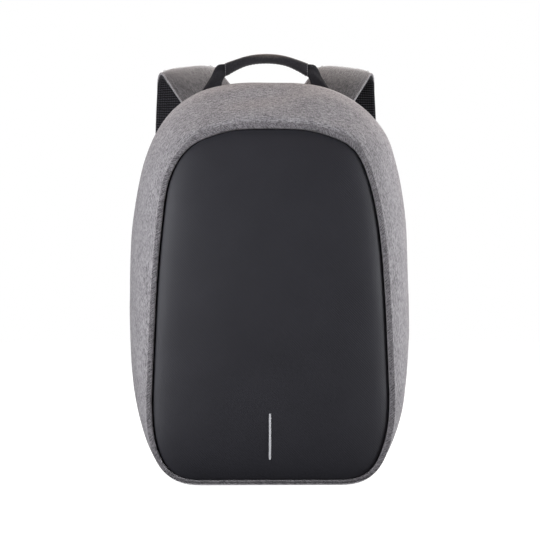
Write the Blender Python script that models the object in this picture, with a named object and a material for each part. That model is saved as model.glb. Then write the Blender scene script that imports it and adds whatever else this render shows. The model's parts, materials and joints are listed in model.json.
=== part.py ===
"""Anti-theft backpack: a hollow padded shell with a smooth front panel, a hidden zip along its back edge,
a padded back panel, two shoulder straps with ladder-lock buckles, and a carrying handle.

Metres. +X is to the right of someone who faces the front, the front faces -Y, and +Z is up.
The origin is the middle of the flat base, on the surface that the bag stands on.
"""

import math
from collections import namedtuple

import bmesh
import bpy
from mathutils import Vector

# Driving dimensions of the bag's body
BODY_HEIGHT = 0.418
BODY_WIDTH = 0.294
SHELL_DEPTH = 0.112
FRONT_LEAN = 0.024
FRONT_TUCK = 0.005
SHELL_WALL = 0.005
CLEARANCE = 0.0003

# The rolled lip round the front panel, and the panel itself
LIP_WIDTH = 0.0064
LIP_DROP = 0.0042
RIM_DEPTH = 0.0065
PANEL_THICKNESS = 0.007
PANEL_EDGE = 0.004
PANEL_CROWN = 0.0055
REFLECTOR_LENGTH = 0.0485
REFLECTOR_WIDTH = 0.0028
REFLECTOR_THICKNESS = 0.0007
REFLECTOR_BOTTOM = 0.0255

# The zip along the back edge, set in a little from the body's outline there
ZIP_TAPE_WIDTH = 0.007
ZIP_TAPE_THICKNESS = 0.0025
ZIP_TAPE_INSET = 0.0012
ZIP_COIL_WIDTH = 0.0026
ZIP_COIL_HEIGHT = 0.0012
ZIP_COIL_ROOT = 0.0001
ZIP_START_HEIGHT = 0.050
SLIDER_LENGTH = 0.010
SLIDER_WIDTH = 0.0062
SLIDER_THICKNESS = 0.0028
SLIDER_EDGE = 0.0006
SLIDER_HEIGHT = 0.105
SLIDER_SPACING = 0.016
PULL_LENGTH = 0.026
PULL_WIDTH = 0.0028
PULL_THICKNESS = 0.0022
PULL_EDGE = 0.0004
PULL_OFFSET = 0.0016

# The back panel, its two long pads and the yoke that holds the straps' upper ends
BACK_PLATE_THICKNESS = 0.006
BACK_PLATE_INSET = 0.001
BACK_PLATE_BEVEL = 0.0008
BACK_PLATE_ROUNDING = 0.0045
BACK_PLATE_BORDER = 0.030
PAD_THICKNESS = 0.0078
PAD_EDGE = 0.0035
PAD_CHANNEL = 0.026
PAD_MARGIN = 0.024
PAD_CORNER = 0.014
PAD_BOTTOM = 0.205 * BODY_HEIGHT
PAD_GAP_TO_YOKE = 0.012
YOKE_HEIGHT = 0.030
YOKE_THICKNESS = 0.0085
YOKE_BORDER = 0.004
YOKE_SAG = 0.002

# The shoulder straps, a padded cover and its mesh lining
STRAP_WIDTH = 0.061
STRAP_LOOP = 0.060
STRAP_COVER_THICKNESS = 0.0036
STRAP_MESH_THICKNESS = 0.0052
STRAP_EDGE = 0.0011

# The adjusters below the straps
WEBBING_WIDTH = 0.020
WEBBING_THICKNESS = 0.0015
WEBBING_EDGE = 0.0003
WEBBING_PLAY = 0.0008
BUCKLE_RAIL = 0.004
BUCKLE_BAR = 0.004
BUCKLE_THICKNESS = 0.0044
BUCKLE_LOWER_WINDOW = 0.006
BUCKLE_UPPER_WINDOW = 0.010
BUCKLE_ROUNDING = 0.0008
STRAP_TAB_LENGTH = 0.008
TAIL_LENGTH = 0.075
TAIL_BEND = 0.001
ANCHOR_THICKNESS = 0.0024
ANCHOR_TOP = 0.150 * BODY_HEIGHT
ANCHOR_BOTTOM = 0.034 * BODY_HEIGHT
ANCHOR_BORDER = 0.002
ANCHOR_FLARE = 0.014

# The carrying handle
HANDLE_SPAN = 0.089
HANDLE_RISE = 0.0288
GRIP_HEIGHT = 0.0104
GRIP_DEPTH = 0.013
HANDLE_WEBBING_WIDTH = 0.025
HANDLE_WEBBING_THICKNESS = 0.003
HANDLE_WEBBING_EDGE = 0.0006
HANDLE_SETBACK = 0.008
HANDLE_SHIFT = -0.0025

FRONT_Y = -SHELL_DEPTH / 2
SHELL_BACK_Y = SHELL_DEPTH / 2
ZIP_FRONT_Y = SHELL_BACK_Y + CLEARANCE
PLATE_FRONT_Y = ZIP_FRONT_Y + ZIP_TAPE_WIDTH + CLEARANCE
BACK_FACE_Y = PLATE_FRONT_Y + BACK_PLATE_THICKNESS
BUCKLE_HEIGHT = 3 * BUCKLE_BAR + BUCKLE_LOWER_WINDOW + BUCKLE_UPPER_WINDOW

# Points of half an outline: along the flat base, round the lower corner, and up to the top's middle
BASE_STEPS = 4
CORNER_STEPS = 11
CROWN_STEPS = 17
FINE_STEPS = 120

# Cross-sections of the shell from the front rim to the back edge.
# depth and lean are shares of SHELL_DEPTH and FRONT_LEAN, width and base of half BODY_WIDTH,
# and belly, top and heel of BODY_HEIGHT. The powers round the outline's crown and lower corners.
Section = namedtuple("Section", "depth lean width belly top base heel crown_power corner_power taper")
SECTIONS = (
    Section(0.000, 1.00, 0.867, 0.220, 0.890, 0.45, 0.000, 4.45, 2.85, 0.088),
    Section(0.040, 0.95, 0.899, 0.240, 0.908, 0.46, 0.000, 4.20, 2.65, 0.078),
    Section(0.130, 0.82, 0.936, 0.285, 0.932, 0.47, 0.000, 3.85, 2.42, 0.062),
    Section(0.270, 0.60, 0.970, 0.355, 0.961, 0.49, 0.000, 3.50, 2.40, 0.044),
    Section(0.430, 0.38, 0.992, 0.415, 0.986, 0.505, 0.000, 3.22, 2.42, 0.028),
    Section(0.590, 0.18, 1.000, 0.440, 0.999, 0.51, 0.000, 3.10, 2.50, 0.022),
    Section(0.740, 0.07, 0.996, 0.440, 1.000, 0.515, 0.000, 3.10, 2.55, 0.022),
    Section(0.880, 0.00, 0.970, 0.430, 0.991, 0.53, 0.000, 3.18, 2.65, 0.022),
    Section(1.000, 0.00, 0.925, 0.420, 0.974, 0.55, 0.010, 3.30, 2.80, 0.020),
)

# Centre line of a shoulder strap from its upper seam to its lower end.
# across is a share of half BODY_WIDTH, behind of STRAP_LOOP from the back panel's face,
# height of BODY_HEIGHT and width of STRAP_WIDTH. tilt lowers the outer edge, in degrees.
Station = namedtuple("Station", "across behind height tilt width")
STRAP_STATIONS = (
    Station(0.259, 0.080, 0.8905, 0, 1.05),
    Station(0.310, 0.085, 0.915, 2, 1.06),
    Station(0.380, 0.135, 0.945, 3, 1.06),
    Station(0.455, 0.230, 0.984, 4, 1.05),
    Station(0.530, 0.385, 1.022, 5, 1.02),
    Station(0.592, 0.640, 1.0510, 6, 0.99),
    Station(0.622, 0.880, 1.041, 5, 0.98),
    Station(0.629, 1.000, 1.001, 3, 0.98),
    Station(0.632, 1.000, 0.940, 0, 1.00),
    Station(0.634, 0.890, 0.850, 0, 1.02),
    Station(0.640, 0.740, 0.720, 0, 1.03),
    Station(0.646, 0.590, 0.600, 0, 1.00),
    Station(0.652, 0.470, 0.495, 0, 0.90),
    Station(0.661, 0.385, 0.410, 0, 0.72),
    Station(0.670, 0.370, 0.345, 0, 0.52),
)
STRAP_STEPS = 26

# Centre line of one handle leg, from its root on the shell to the grip.
# across is a share of half HANDLE_SPAN, rise of HANDLE_RISE above BODY_HEIGHT,
# and width of HANDLE_WEBBING_WIDTH. turn is the band's slant from level, in degrees.
LegStation = namedtuple("LegStation", "across rise width turn")
LEG_STATIONS = (
    LegStation(1.47, -0.75, 0.98, 24),
    LegStation(1.36, -0.28, 0.96, 26),
    LegStation(1.24, 0.16, 0.86, 36),
    LegStation(1.11, 0.48, 0.74, 62),
    LegStation(1.00, 0.575, 0.58, 90),
)
LEG_STEPS = 12

# Half of the grip, from its end to the middle. across is a share of half HANDLE_SPAN,
# rise of HANDLE_RISE above BODY_HEIGHT, height of GRIP_HEIGHT and depth of GRIP_DEPTH.
GripStation = namedtuple("GripStation", "across rise height depth")
GRIP_STATIONS = (
    GripStation(1.00, 0.575, 1.42, 0.62),
    GripStation(0.93, 0.620, 1.34, 0.80),
    GripStation(0.78, 0.730, 1.18, 0.95),
    GripStation(0.52, 0.890, 1.02, 1.00),
    GripStation(0.26, 0.975, 0.98, 1.00),
    GripStation(0.00, 1.000, 0.98, 1.00),
)


def clear_scene():
    for obj in list(bpy.data.objects):
        bpy.data.objects.remove(obj)


def make_material(name, colour, roughness, metallic=0.0):
    material = bpy.data.materials.new(name)
    material.use_nodes = True
    shader = material.node_tree.nodes["Principled BSDF"]
    shader.inputs["Base Color"].default_value = (*colour, 1.0)
    shader.inputs["Roughness"].default_value = roughness
    shader.inputs["Metallic"].default_value = metallic
    return material


def make_materials():
    return {
        "grey_cloth": make_material("grey_cloth", (0.30, 0.29, 0.295), 0.95),
        "front_cloth": make_material("front_cloth", (0.025, 0.024, 0.028), 0.55),
        "black_cloth": make_material("black_cloth", (0.018, 0.018, 0.02), 0.9),
        "air_mesh": make_material("air_mesh", (0.012, 0.012, 0.014), 0.95),
        "webbing": make_material("webbing", (0.015, 0.015, 0.017), 0.8),
        "plastic": make_material("plastic", (0.012, 0.012, 0.013), 0.4),
        "zip_metal": make_material("zip_metal", (0.03, 0.03, 0.033), 0.35, 0.8),
        "reflector": make_material("reflector", (0.55, 0.55, 0.57), 0.3, 0.2),
    }


def make_object(name, mesh, material, sharp_degrees=35.0):
    mesh.materials.append(material)
    mesh.shade_smooth()
    mesh.set_sharp_from_angle(angle=math.radians(sharp_degrees))
    obj = bpy.data.objects.new(name, mesh)
    bpy.context.scene.collection.objects.link(obj)
    return obj


def loft(name, rings, material, joined=False):
    """A closed solid through rings of equally many points. A joined loft closes on itself as a hoop does.

    The two halves of each ring are split along mirrored diagonals, so that layers of a twisted band stay
    parallel.
    """
    shape = bmesh.new()
    rows = [[shape.verts.new(point) for point in ring] for ring in rings]
    pairs = list(zip(rows, rows[1:]))
    if joined:
        pairs.append((rows[-1], rows[0]))
    count = len(rows[0])
    for low, high in pairs:
        for i in range(count):
            j = (i + 1) % count
            if 2 * i < count:
                shape.faces.new((low[i], low[j], high[j]))
                shape.faces.new((low[i], high[j], high[i]))
            else:
                shape.faces.new((low[i], low[j], high[i]))
                shape.faces.new((low[j], high[j], high[i]))
    if not joined:
        shape.faces.new(list(reversed(rows[0])))
        shape.faces.new(rows[-1])
    bmesh.ops.recalc_face_normals(shape, faces=shape.faces)
    mesh = bpy.data.meshes.new(name)
    shape.to_mesh(mesh)
    shape.free()
    return make_object(name, mesh, material)


def mirrored(points):
    return [Vector((-p[0], p[1], p[2])) for p in points]


def evenly_spaced(line, steps):
    """Points that divide a polyline of 2-D points into equal lengths."""
    lengths = [0.0]
    for a, b in zip(line, line[1:]):
        lengths.append(lengths[-1] + math.dist(a, b))
    points, k = [], 0
    for i in range(steps + 1):
        at = lengths[-1] * i / steps
        while k < len(line) - 2 and lengths[k + 1] < at:
            k += 1
        share = (at - lengths[k]) / (lengths[k + 1] - lengths[k])
        points.append([a + (b - a) * share for a, b in zip(line[k], line[k + 1])])
    return points


def half_outline(section):
    """Half of a section's outline as x and z, from the base's middle round one side to the top's middle."""
    half = BODY_WIDTH / 2
    reach, base = section.width * half, section.base * half
    belly, top, heel = (share * BODY_HEIGHT for share in (section.belly, section.top, section.heel))
    corner, crown = [], []
    for i in range(FINE_STEPS + 1):
        angle = math.pi / 2 * i / FINE_STEPS
        across = math.sin(angle) ** (2 / section.corner_power)
        down = math.cos(angle) ** (2 / section.corner_power)
        corner.append((base + (reach - base) * across, belly - (belly - heel) * down))
        across = math.cos(angle) ** (2 / section.crown_power)
        up = math.sin(angle) ** (2 / section.crown_power)
        crown.append((reach * (1 - section.taper * up) * across, belly + (top - belly) * up))
    flat = [(base * i / BASE_STEPS, heel) for i in range(BASE_STEPS)]
    return flat + evenly_spaced(corner, CORNER_STEPS)[:-1] + evenly_spaced(crown, CROWN_STEPS)


def whole_outline(section):
    half = half_outline(section)
    return half + [(-x, z) for x, z in reversed(half[1:-1])]


def front_curve(height):
    """How far the front stands back from its most forward plane at a height."""
    rim_top = SECTIONS[0].top * BODY_HEIGHT
    start = 0.36 * BODY_HEIGHT
    tuck_end = 0.16 * BODY_HEIGHT
    lean = FRONT_LEAN * (max(0.0, height - start) / (rim_top - start)) ** 2
    tuck = FRONT_TUCK * (max(0.0, tuck_end - height) / tuck_end) ** 2
    return lean + tuck


def section_ring(section):
    y = FRONT_Y + section.depth * SHELL_DEPTH
    return [Vector((x, y + section.lean * front_curve(z), z)) for x, z in whole_outline(section)]


def inset_ring(ring, inset, back=0.0):
    """A ring moved inwards in its own plane by inset, and towards +Y by back."""
    moved = []
    count = len(ring)
    for i, point in enumerate(ring):
        along = ring[(i + 1) % count] - ring[i - 1]
        inwards = Vector((-along.z, 0.0, along.x)).normalized()
        moved.append(point + inwards * inset + Vector((0.0, back, 0.0)))
    return moved


def outward_normals(rings):
    """The outward direction at each point of a grid of rings that run from the front to the back."""
    normals = []
    for k, ring in enumerate(rings):
        before, after = rings[max(k - 1, 0)], rings[min(k + 1, len(rings) - 1)]
        count = len(ring)
        row = []
        for i in range(count):
            around = ring[(i + 1) % count] - ring[i - 1]
            deep = after[i] - before[i]
            row.append(deep.cross(around).normalized())
        normals.append(row)
    return normals


def shifted(ring, directions, distance):
    return [point + direction * distance for point, direction in zip(ring, directions)]


def panel_hole():
    """The front edge of the opening that the front panel fills."""
    return inset_ring(section_ring(SECTIONS[0]), LIP_WIDTH, LIP_DROP)


def build_shell(material):
    outer = [section_ring(section) for section in SECTIONS]
    normals = outward_normals(outer)
    inner = [shifted(ring, row, -SHELL_WALL) for ring, row in zip(outer[2:], normals[2:])]
    inner[-1] = [Vector((p.x, SHELL_BACK_Y, p.z)) for p in inner[-1]]
    rim = outer[0]
    hole = panel_hole()
    rings = [
        inset_ring(hole, 0.0, RIM_DEPTH),
        hole,
        inset_ring(rim, 0.45 * LIP_WIDTH, 0.28 * LIP_DROP),
        *outer,
        *reversed(inner),
    ]
    return loft("body_shell", rings, material, joined=True)


def panel_ring(edge, scale, rise):
    """The panel's edge ring drawn in towards its middle and raised towards the front."""
    middle = 0.5 * (edge[0].z + max(p.z for p in edge))
    ring = []
    for point in edge:
        x, z = point.x * scale, middle + (point.z - middle) * scale
        ring.append(Vector((x, FRONT_Y + front_curve(z) + LIP_DROP - rise, z)))
    return ring


def crown_rise(scale):
    """How far the panel stands forward of its edge, at a share of the way out from its middle."""
    return PANEL_EDGE + PANEL_CROWN * (1 - scale**2)


def build_front_panel(material):
    edge = inset_ring(panel_hole(), CLEARANCE)
    front = [(1.0, 0.0), (0.992, 0.55 * PANEL_EDGE), (0.975, 0.9 * PANEL_EDGE)]
    front += [(scale, crown_rise(scale)) for scale in (0.94, 0.8, 0.58, 0.34, 0.1)]
    rings = [panel_ring(edge, scale, rise) for scale, rise in front]
    seat = panel_ring(edge, 1.0, -RIM_DEPTH)
    back = [panel_ring(edge, 0.9, PANEL_EDGE - PANEL_THICKNESS - 0.002)]
    back += [panel_ring(edge, scale, crown_rise(scale) - PANEL_THICKNESS) for scale in (0.58, 0.34)]
    return loft("front_panel", [*reversed(back), seat, *rings], material)


def panel_front_y(x, z):
    """The y of the front panel's surface at a place well inside its edge."""
    edge = inset_ring(panel_hole(), CLEARANCE)
    middle = 0.5 * (edge[0].z + max(p.z for p in edge))
    angle = math.atan2(z - middle, x)
    reach = min(edge, key=lambda p: abs(math.remainder(math.atan2(p.z - middle, p.x) - angle, math.tau)))
    scale = math.hypot(x, z - middle) / math.hypot(reach.x, reach.z - middle)
    return FRONT_Y + front_curve(z) + LIP_DROP - crown_rise(scale)


def build_reflector(material):
    steps = 8
    rings = []
    for i in range(steps + 1):
        z = REFLECTOR_BOTTOM + REFLECTOR_LENGTH * i / steps
        end = min(i, steps - i)
        half = REFLECTOR_WIDTH / 2 * (0.6 if end == 0 else 1.0)
        back = panel_front_y(0.0, z) - CLEARANCE
        front = back - REFLECTOR_THICKNESS
        rings.append(
            [
                Vector((-half, back, z)),
                Vector((half, back, z)),
                Vector((half, front, z)),
                Vector((-half, front, z)),
            ]
        )
    return loft("reflective_strip", rings, material)


def back_edge_ring(inset, y):
    """The body's outline at its back edge, drawn in by inset, at a given y."""
    ring = inset_ring(section_ring(SECTIONS[-1]), inset)
    return [Vector((p.x, y, p.z)) for p in ring]


def build_zip_track(material):
    """The closed zip: a tape round the whole back edge, with the coil raised along the stretch that opens."""
    middle = ZIP_FRONT_Y + ZIP_TAPE_WIDTH / 2
    back = ZIP_FRONT_Y + ZIP_TAPE_WIDTH
    coil_profile = [(middle - ZIP_COIL_WIDTH / 2, 0.25), (middle, 1.0), (middle + ZIP_COIL_WIDTH / 2, 0.25)]
    rings = [
        back_edge_ring(ZIP_TAPE_INSET + ZIP_TAPE_THICKNESS, back),
        back_edge_ring(ZIP_TAPE_INSET + ZIP_TAPE_THICKNESS, ZIP_FRONT_Y),
        back_edge_ring(ZIP_TAPE_INSET, ZIP_FRONT_Y),
    ]
    for y, share in coil_profile:
        low = back_edge_ring(ZIP_TAPE_INSET - ZIP_COIL_ROOT, y)
        high = back_edge_ring(ZIP_TAPE_INSET - share * ZIP_COIL_HEIGHT, y)
        rings.append([b if b.z > ZIP_START_HEIGHT else a for a, b in zip(low, high)])
    rings.append(back_edge_ring(ZIP_TAPE_INSET, back))
    return loft("zip_track", rings, material, joined=True)


def side_point(height):
    """The point of the back edge's right side at a height, and the upward and outward directions there."""
    ring = section_ring(SECTIONS[-1])[: BASE_STEPS + CORNER_STEPS + CROWN_STEPS + 1]
    for a, b in zip(ring[BASE_STEPS:], ring[BASE_STEPS + 1 :]):
        if a.z <= height <= b.z:
            upward = (b - a).normalized()
            upward.y = 0.0
            point = a.lerp(b, (height - a.z) / (b.z - a.z))
            return point, upward, Vector((upward.z, 0.0, -upward.x))
    raise ValueError("the height is outside the body's side")


def slab_ring(centre, across, over, half_across, half_over, edge):
    """A rectangle with cut corners round a centre, in the plane of two directions."""
    a, o = half_across, half_over
    corners = [
        (-a, -o + edge), (-a + edge, -o), (a - edge, -o), (a, -o + edge),
        (a, o - edge), (a - edge, o), (-a + edge, o), (-a, o - edge),
    ]
    return [centre + across * u + over * v for u, v in corners]


def build_zip_sliders(metal, cord):
    """Two sliders side by side on the zip's right end, each with a soft pull that hangs down beside it."""
    middle_y = ZIP_FRONT_Y + ZIP_TAPE_WIDTH / 2
    deep = Vector((0.0, 1.0, 0.0))
    coil_top = ZIP_COIL_HEIGHT - ZIP_TAPE_INSET + CLEARANCE
    for k, name in enumerate(("lower", "upper")):
        point, upward, outward = side_point(SLIDER_HEIGHT + k * SLIDER_SPACING)
        point.y = middle_y
        rings = []
        for share, slim in ((-0.5, 0.72), (-0.2, 1.0), (0.25, 0.9), (0.5, 0.6)):
            centre = point + upward * share * SLIDER_LENGTH + outward * (coil_top + SLIDER_THICKNESS / 2)
            rings.append(
                slab_ring(centre, deep, outward, slim * SLIDER_WIDTH / 2, SLIDER_THICKNESS / 2, SLIDER_EDGE)
            )
        loft(f"zip_slider_{name}", rings, metal)
        start = coil_top + SLIDER_THICKNESS + CLEARANCE + PULL_THICKNESS / 2
        rings = []
        for share, slim in ((0.0, 0.8), (0.12, 1.0), (0.5, 1.0), (0.9, 1.0), (1.0, 0.7)):
            drop = upward * -share * PULL_LENGTH
            centre = point + drop + outward * start + deep * (1 - 2 * k) * PULL_OFFSET
            rings.append(
                slab_ring(centre, deep, outward, slim * PULL_WIDTH / 2, PULL_THICKNESS / 2, PULL_EDGE)
            )
        loft(f"zip_pull_{name}", rings, cord)


def build_back_panel(material):
    plate = BACK_PLATE_INSET
    rings = [
        back_edge_ring(plate + BACK_PLATE_BORDER, PLATE_FRONT_Y),
        back_edge_ring(plate + BACK_PLATE_BEVEL, PLATE_FRONT_Y),
        back_edge_ring(plate, PLATE_FRONT_Y + 0.25 * BACK_PLATE_THICKNESS),
        back_edge_ring(plate + BACK_PLATE_BEVEL, PLATE_FRONT_Y + 0.7 * BACK_PLATE_THICKNESS),
        back_edge_ring(plate + BACK_PLATE_ROUNDING, BACK_FACE_Y),
        back_edge_ring(plate + BACK_PLATE_BORDER, BACK_FACE_Y),
    ]
    return loft("back_panel", rings, material)


def pad_outline():
    """The outline of the right back pad as x and z: it follows the body's side and keeps off the middle."""
    back = section_ring(SECTIONS[-1])
    half = inset_ring(back, PAD_MARGIN)[: len(back) // 2 + 1]
    low, high = PAD_BOTTOM, yoke_bottom() - PAD_GAP_TO_YOKE
    inner, corner = PAD_CHANNEL / 2, PAD_CORNER
    straight = [p for p in half if low + 0.7 * corner < p.z < high - 0.7 * corner]
    side = [(p.x, p.z) for p in straight if p.x > inner + corner]
    widest_low, widest_high = side[0][0], side[-1][0]
    return [
        (inner + corner, low),
        ((inner + widest_low) / 2, low - 0.14 * corner),
        (widest_low - corner, low),
        (widest_low - 0.3 * corner, low + 0.3 * corner),
        *side,
        (widest_high - 0.4 * corner, high - 0.25 * corner),
        (widest_high - 1.6 * corner, high),
        ((inner + widest_high) / 2, high + 0.07 * corner),
        (inner + corner, high),
        (inner + 0.3 * corner, high - 0.3 * corner),
        (inner, high - corner),
        (inner + 0.07 * corner, (low + high) / 2),
        (inner, low + corner),
        (inner + 0.3 * corner, low + 0.3 * corner),
    ]


def yoke_top():
    return STRAP_STATIONS[0].height * BODY_HEIGHT - 2 * CLEARANCE


def yoke_bottom():
    return yoke_top() - YOKE_HEIGHT


def raised_pad(name, outline, thickness, edge, material):
    """A pad on the back panel's face: full thickness inside its outline, thinning to a rounded edge."""
    across = [p[0] for p in outline]
    up = [p[1] for p in outline]
    middle = Vector(((min(across) + max(across)) / 2, 0.0, (min(up) + max(up)) / 2))
    half = Vector(((max(across) - min(across)) / 2, 0.0, (max(up) - min(up)) / 2))
    rings = []
    for inset, raised in ((0.3 * edge, 0.0), (0.0, 0.3), (0.0, 0.62), (0.5 * edge, 0.9), (edge * 1.6, 1.0)):
        y = BACK_FACE_Y + CLEARANCE + raised * (thickness - CLEARANCE)
        ring = []
        for x, z in outline:
            scale_x, scale_z = 1 - inset / half.x, 1 - inset / half.z
            ring.append(Vector((middle.x + (x - middle.x) * scale_x, y, middle.z + (z - middle.z) * scale_z)))
        rings.append(ring)
    return loft(name, rings, material)


def build_back_pads(material):
    right = pad_outline()
    raised_pad("back_pad_right", right, PAD_THICKNESS, PAD_EDGE, material)
    left = [(-x, z) for x, z in reversed(right)]
    raised_pad("back_pad_left", left, PAD_THICKNESS, PAD_EDGE, material)


def build_yoke(material):
    """The padded band across the top of the back panel. The straps come out of its upper seam."""
    first = STRAP_STATIONS[0]
    reach = first.across * BODY_WIDTH / 2 + first.width * STRAP_WIDTH / 2 + YOKE_BORDER
    low, high = yoke_bottom(), yoke_top()
    corner = 0.25 * YOKE_HEIGHT
    right = [
        (reach - 3 * corner, low),
        (reach - corner, low + 0.5 * corner),
        (reach, low + 1.6 * corner),
        (reach, high),
        (reach / 2, high),
    ]
    left = [(-x, z) for x, z in reversed(right)]
    outline = [(0.0, low - YOKE_SAG), *right, (0.0, high), *left]
    rings = []
    for inset, raised in ((0.0, 0.0), (0.0, 0.7), (0.4 * YOKE_BORDER, 0.92), (YOKE_BORDER, 1.0)):
        y = BACK_FACE_Y + CLEARANCE + raised * (YOKE_THICKNESS - CLEARANCE)
        scale = 1 - inset / reach
        middle = (low + high) / 2
        ring = []
        for x, z in outline:
            squeezed = middle + (z - middle) * (1 - 2 * inset / YOKE_HEIGHT)
            ring.append(Vector((x * scale, y, squeezed)))
        rings.append(ring)
    return loft("strap_yoke", rings, material)


def blended(rows, share):
    """The values of a table of rows at a share of its length, on a smooth curve through them."""
    at = share * (len(rows) - 1)
    k = min(int(at), len(rows) - 2)
    t = at - k
    before, start, end, after = (rows[min(max(i, 0), len(rows) - 1)] for i in (k - 1, k, k + 1, k + 2))
    values = []
    for a, b, c, d in zip(before, start, end, after):
        values.append(
            b + 0.5 * t * (c - a + t * (2 * a - 5 * b + 4 * c - d + t * (3 * (b - c) + d - a)))
        )
    return type(rows[0])(*values)


def strap_line(side):
    """Centres, directions across and half-widths along a strap. side is 1 for +X and -1 for -X."""
    line = []
    for i in range(STRAP_STEPS + 1):
        station = blended(STRAP_STATIONS, i / STRAP_STEPS)
        centre = Vector(
            (
                side * station.across * BODY_WIDTH / 2,
                BACK_FACE_Y + station.behind * STRAP_LOOP,
                station.height * BODY_HEIGHT,
            )
        )
        tilt = math.radians(station.tilt)
        across = Vector((side * math.cos(tilt), 0.0, -math.sin(tilt)))
        line.append((centre, across, station.width * STRAP_WIDTH / 2))
    return line


def band(name, line, low, high, edge, material, side=1):
    """A flat band along a line. low and high are its two faces' distances from the line's own surface."""
    rings = []
    for i, (centre, across, half) in enumerate(line):
        before, after = line[max(i - 1, 0)][0], line[min(i + 1, len(line) - 1)][0]
        over = across.cross(after - before).normalized() * side
        middle = centre + over * (low + high) / 2
        rings.append(slab_ring(middle, across * side, over, half, (high - low) / 2, edge))
    return loft(name, rings, material)


def build_straps(cover, mesh):
    total = STRAP_COVER_THICKNESS + STRAP_MESH_THICKNESS + CLEARANCE
    for side, name in ((1, "right"), (-1, "left")):
        line = strap_line(side)
        split = total / 2 - STRAP_COVER_THICKNESS
        band(f"strap_cover_{name}", line, split, total / 2, STRAP_EDGE, cover, side)
        band(f"strap_mesh_{name}", line, -total / 2, split - CLEARANCE, STRAP_EDGE, mesh, side)


def buckle_frame():
    """The x, y and lowest z of a ladder-lock, which hangs below the strap's end on a short tab."""
    last = STRAP_STATIONS[-1]
    x = last.across * BODY_WIDTH / 2
    y = BACK_FACE_Y + last.behind * STRAP_LOOP
    top = last.height * BODY_HEIGHT - STRAP_TAB_LENGTH + BUCKLE_BAR
    return x, y, top - BUCKLE_HEIGHT


def box_mesh(name, low, high):
    shape = bmesh.new()
    bmesh.ops.create_cube(shape, size=1.0)
    for vert in shape.verts:
        for axis in range(3):
            vert.co[axis] = low[axis] if vert.co[axis] < 0 else high[axis]
    mesh = bpy.data.meshes.new(name)
    shape.to_mesh(mesh)
    shape.free()
    return mesh


def make_cutter(name, mesh):
    cutter = bpy.data.objects.new(name, mesh)
    bpy.context.scene.collection.objects.link(cutter)
    cutter.hide_render = True
    cutter.display_type = "WIRE"
    return cutter


def cut(obj, cutter):
    modifier = obj.modifiers.new("cut_" + cutter.name, "BOOLEAN")
    modifier.operation = "DIFFERENCE"
    modifier.solver = "EXACT"
    modifier.object = cutter


def build_buckle(name, side, material):
    """A ladder-lock: a flat frame with three bars, two windows apart."""
    x, y, bottom = buckle_frame()
    x *= side
    window = WEBBING_WIDTH / 2 + WEBBING_PLAY
    half = window + BUCKLE_RAIL
    low = (x - half, y - BUCKLE_THICKNESS / 2, bottom)
    high = (x + half, y + BUCKLE_THICKNESS / 2, bottom + BUCKLE_HEIGHT)
    obj = make_object(name, box_mesh(name, low, high), material)
    floors = (BUCKLE_BAR, 2 * BUCKLE_BAR + BUCKLE_LOWER_WINDOW)
    for floor, height in zip(floors, (BUCKLE_LOWER_WINDOW, BUCKLE_UPPER_WINDOW)):
        start = (x - window, y - BUCKLE_THICKNESS, bottom + floor)
        end = (x + window, y + BUCKLE_THICKNESS, bottom + floor + height)
        cutter_name = f"{name}_window_{round(1000 * floor)}"
        cut(obj, make_cutter(cutter_name, box_mesh(cutter_name, start, end)))
    bevel = obj.modifiers.new("rounding", "BEVEL")
    bevel.width = BUCKLE_ROUNDING
    bevel.segments = 2


def squared(share):
    """A cosine or sine pushed outwards, so that a circle through it becomes a rounded square."""
    return math.copysign(abs(share) ** 0.75, share)


def line_of(points, x, half):
    """A band's line that lies across X, through points given as y and z."""
    return [(Vector((x, y, z)), Vector((1.0, 0.0, 0.0)), half) for y, z in points]


def turn_round(y, z, reach, rise, degrees, steps):
    """Points on a squarish curve round a bar at y and z, from one angle to another, 0 being towards +Y."""
    start, end = degrees
    points = []
    for i in range(steps + 1):
        angle = math.radians(start + (end - start) * i / steps)
        points.append((y + reach * squared(math.cos(angle)), z + rise * squared(math.sin(angle))))
    return points


def build_adjuster(name, side, webbing):
    """The short tab that holds the buckle to the strap, and the webbing from the anchor round its bar."""
    x, y, bottom = buckle_frame()
    x *= side
    half, thick = WEBBING_WIDTH / 2, WEBBING_THICKNESS / 2
    reach = BUCKLE_THICKNESS / 2 + CLEARANCE + thick
    rise = BUCKLE_BAR / 2 + reach - BUCKLE_THICKNESS / 2 + WEBBING_PLAY
    top_bar = bottom + BUCKLE_HEIGHT - BUCKLE_BAR / 2
    strap_end = STRAP_STATIONS[-1].height * BODY_HEIGHT - 2 * CLEARANCE
    turn = turn_round(y, top_bar, reach, rise, (180, 360), 8)
    tab = [(y - reach, strap_end), *turn, (y + reach, strap_end)]
    band(f"strap_tab_{name}", line_of(tab, x, half), -thick, thick, WEBBING_EDGE, webbing)

    middle_bar = bottom + 1.5 * BUCKLE_BAR + BUCKLE_LOWER_WINDOW
    anchor_y = anchor_face_y() + CLEARANCE + thick
    route = [
        (anchor_y, ANCHOR_TOP - 1.2 * WEBBING_WIDTH),
        (anchor_y, ANCHOR_TOP - 0.2 * WEBBING_WIDTH),
        (anchor_y + 0.25 * (y - anchor_y), ANCHOR_TOP + 0.25 * (bottom - ANCHOR_TOP)),
        (anchor_y + 0.65 * (y - anchor_y), ANCHOR_TOP + 0.70 * (bottom - ANCHOR_TOP)),
        (y - reach, bottom - TAIL_BEND),
        *turn_round(y, middle_bar, reach, rise, (180, 0), 8),
        (y + reach, bottom),
        (y + reach + TAIL_BEND, bottom - 0.35 * TAIL_LENGTH),
        (y + reach, bottom - 0.7 * TAIL_LENGTH),
        (y + reach - TAIL_BEND, bottom - TAIL_LENGTH + BUCKLE_HEIGHT),
    ]
    band(f"adjuster_webbing_{name}", line_of(route, x, half), -thick, thick, WEBBING_EDGE, webbing)


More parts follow.
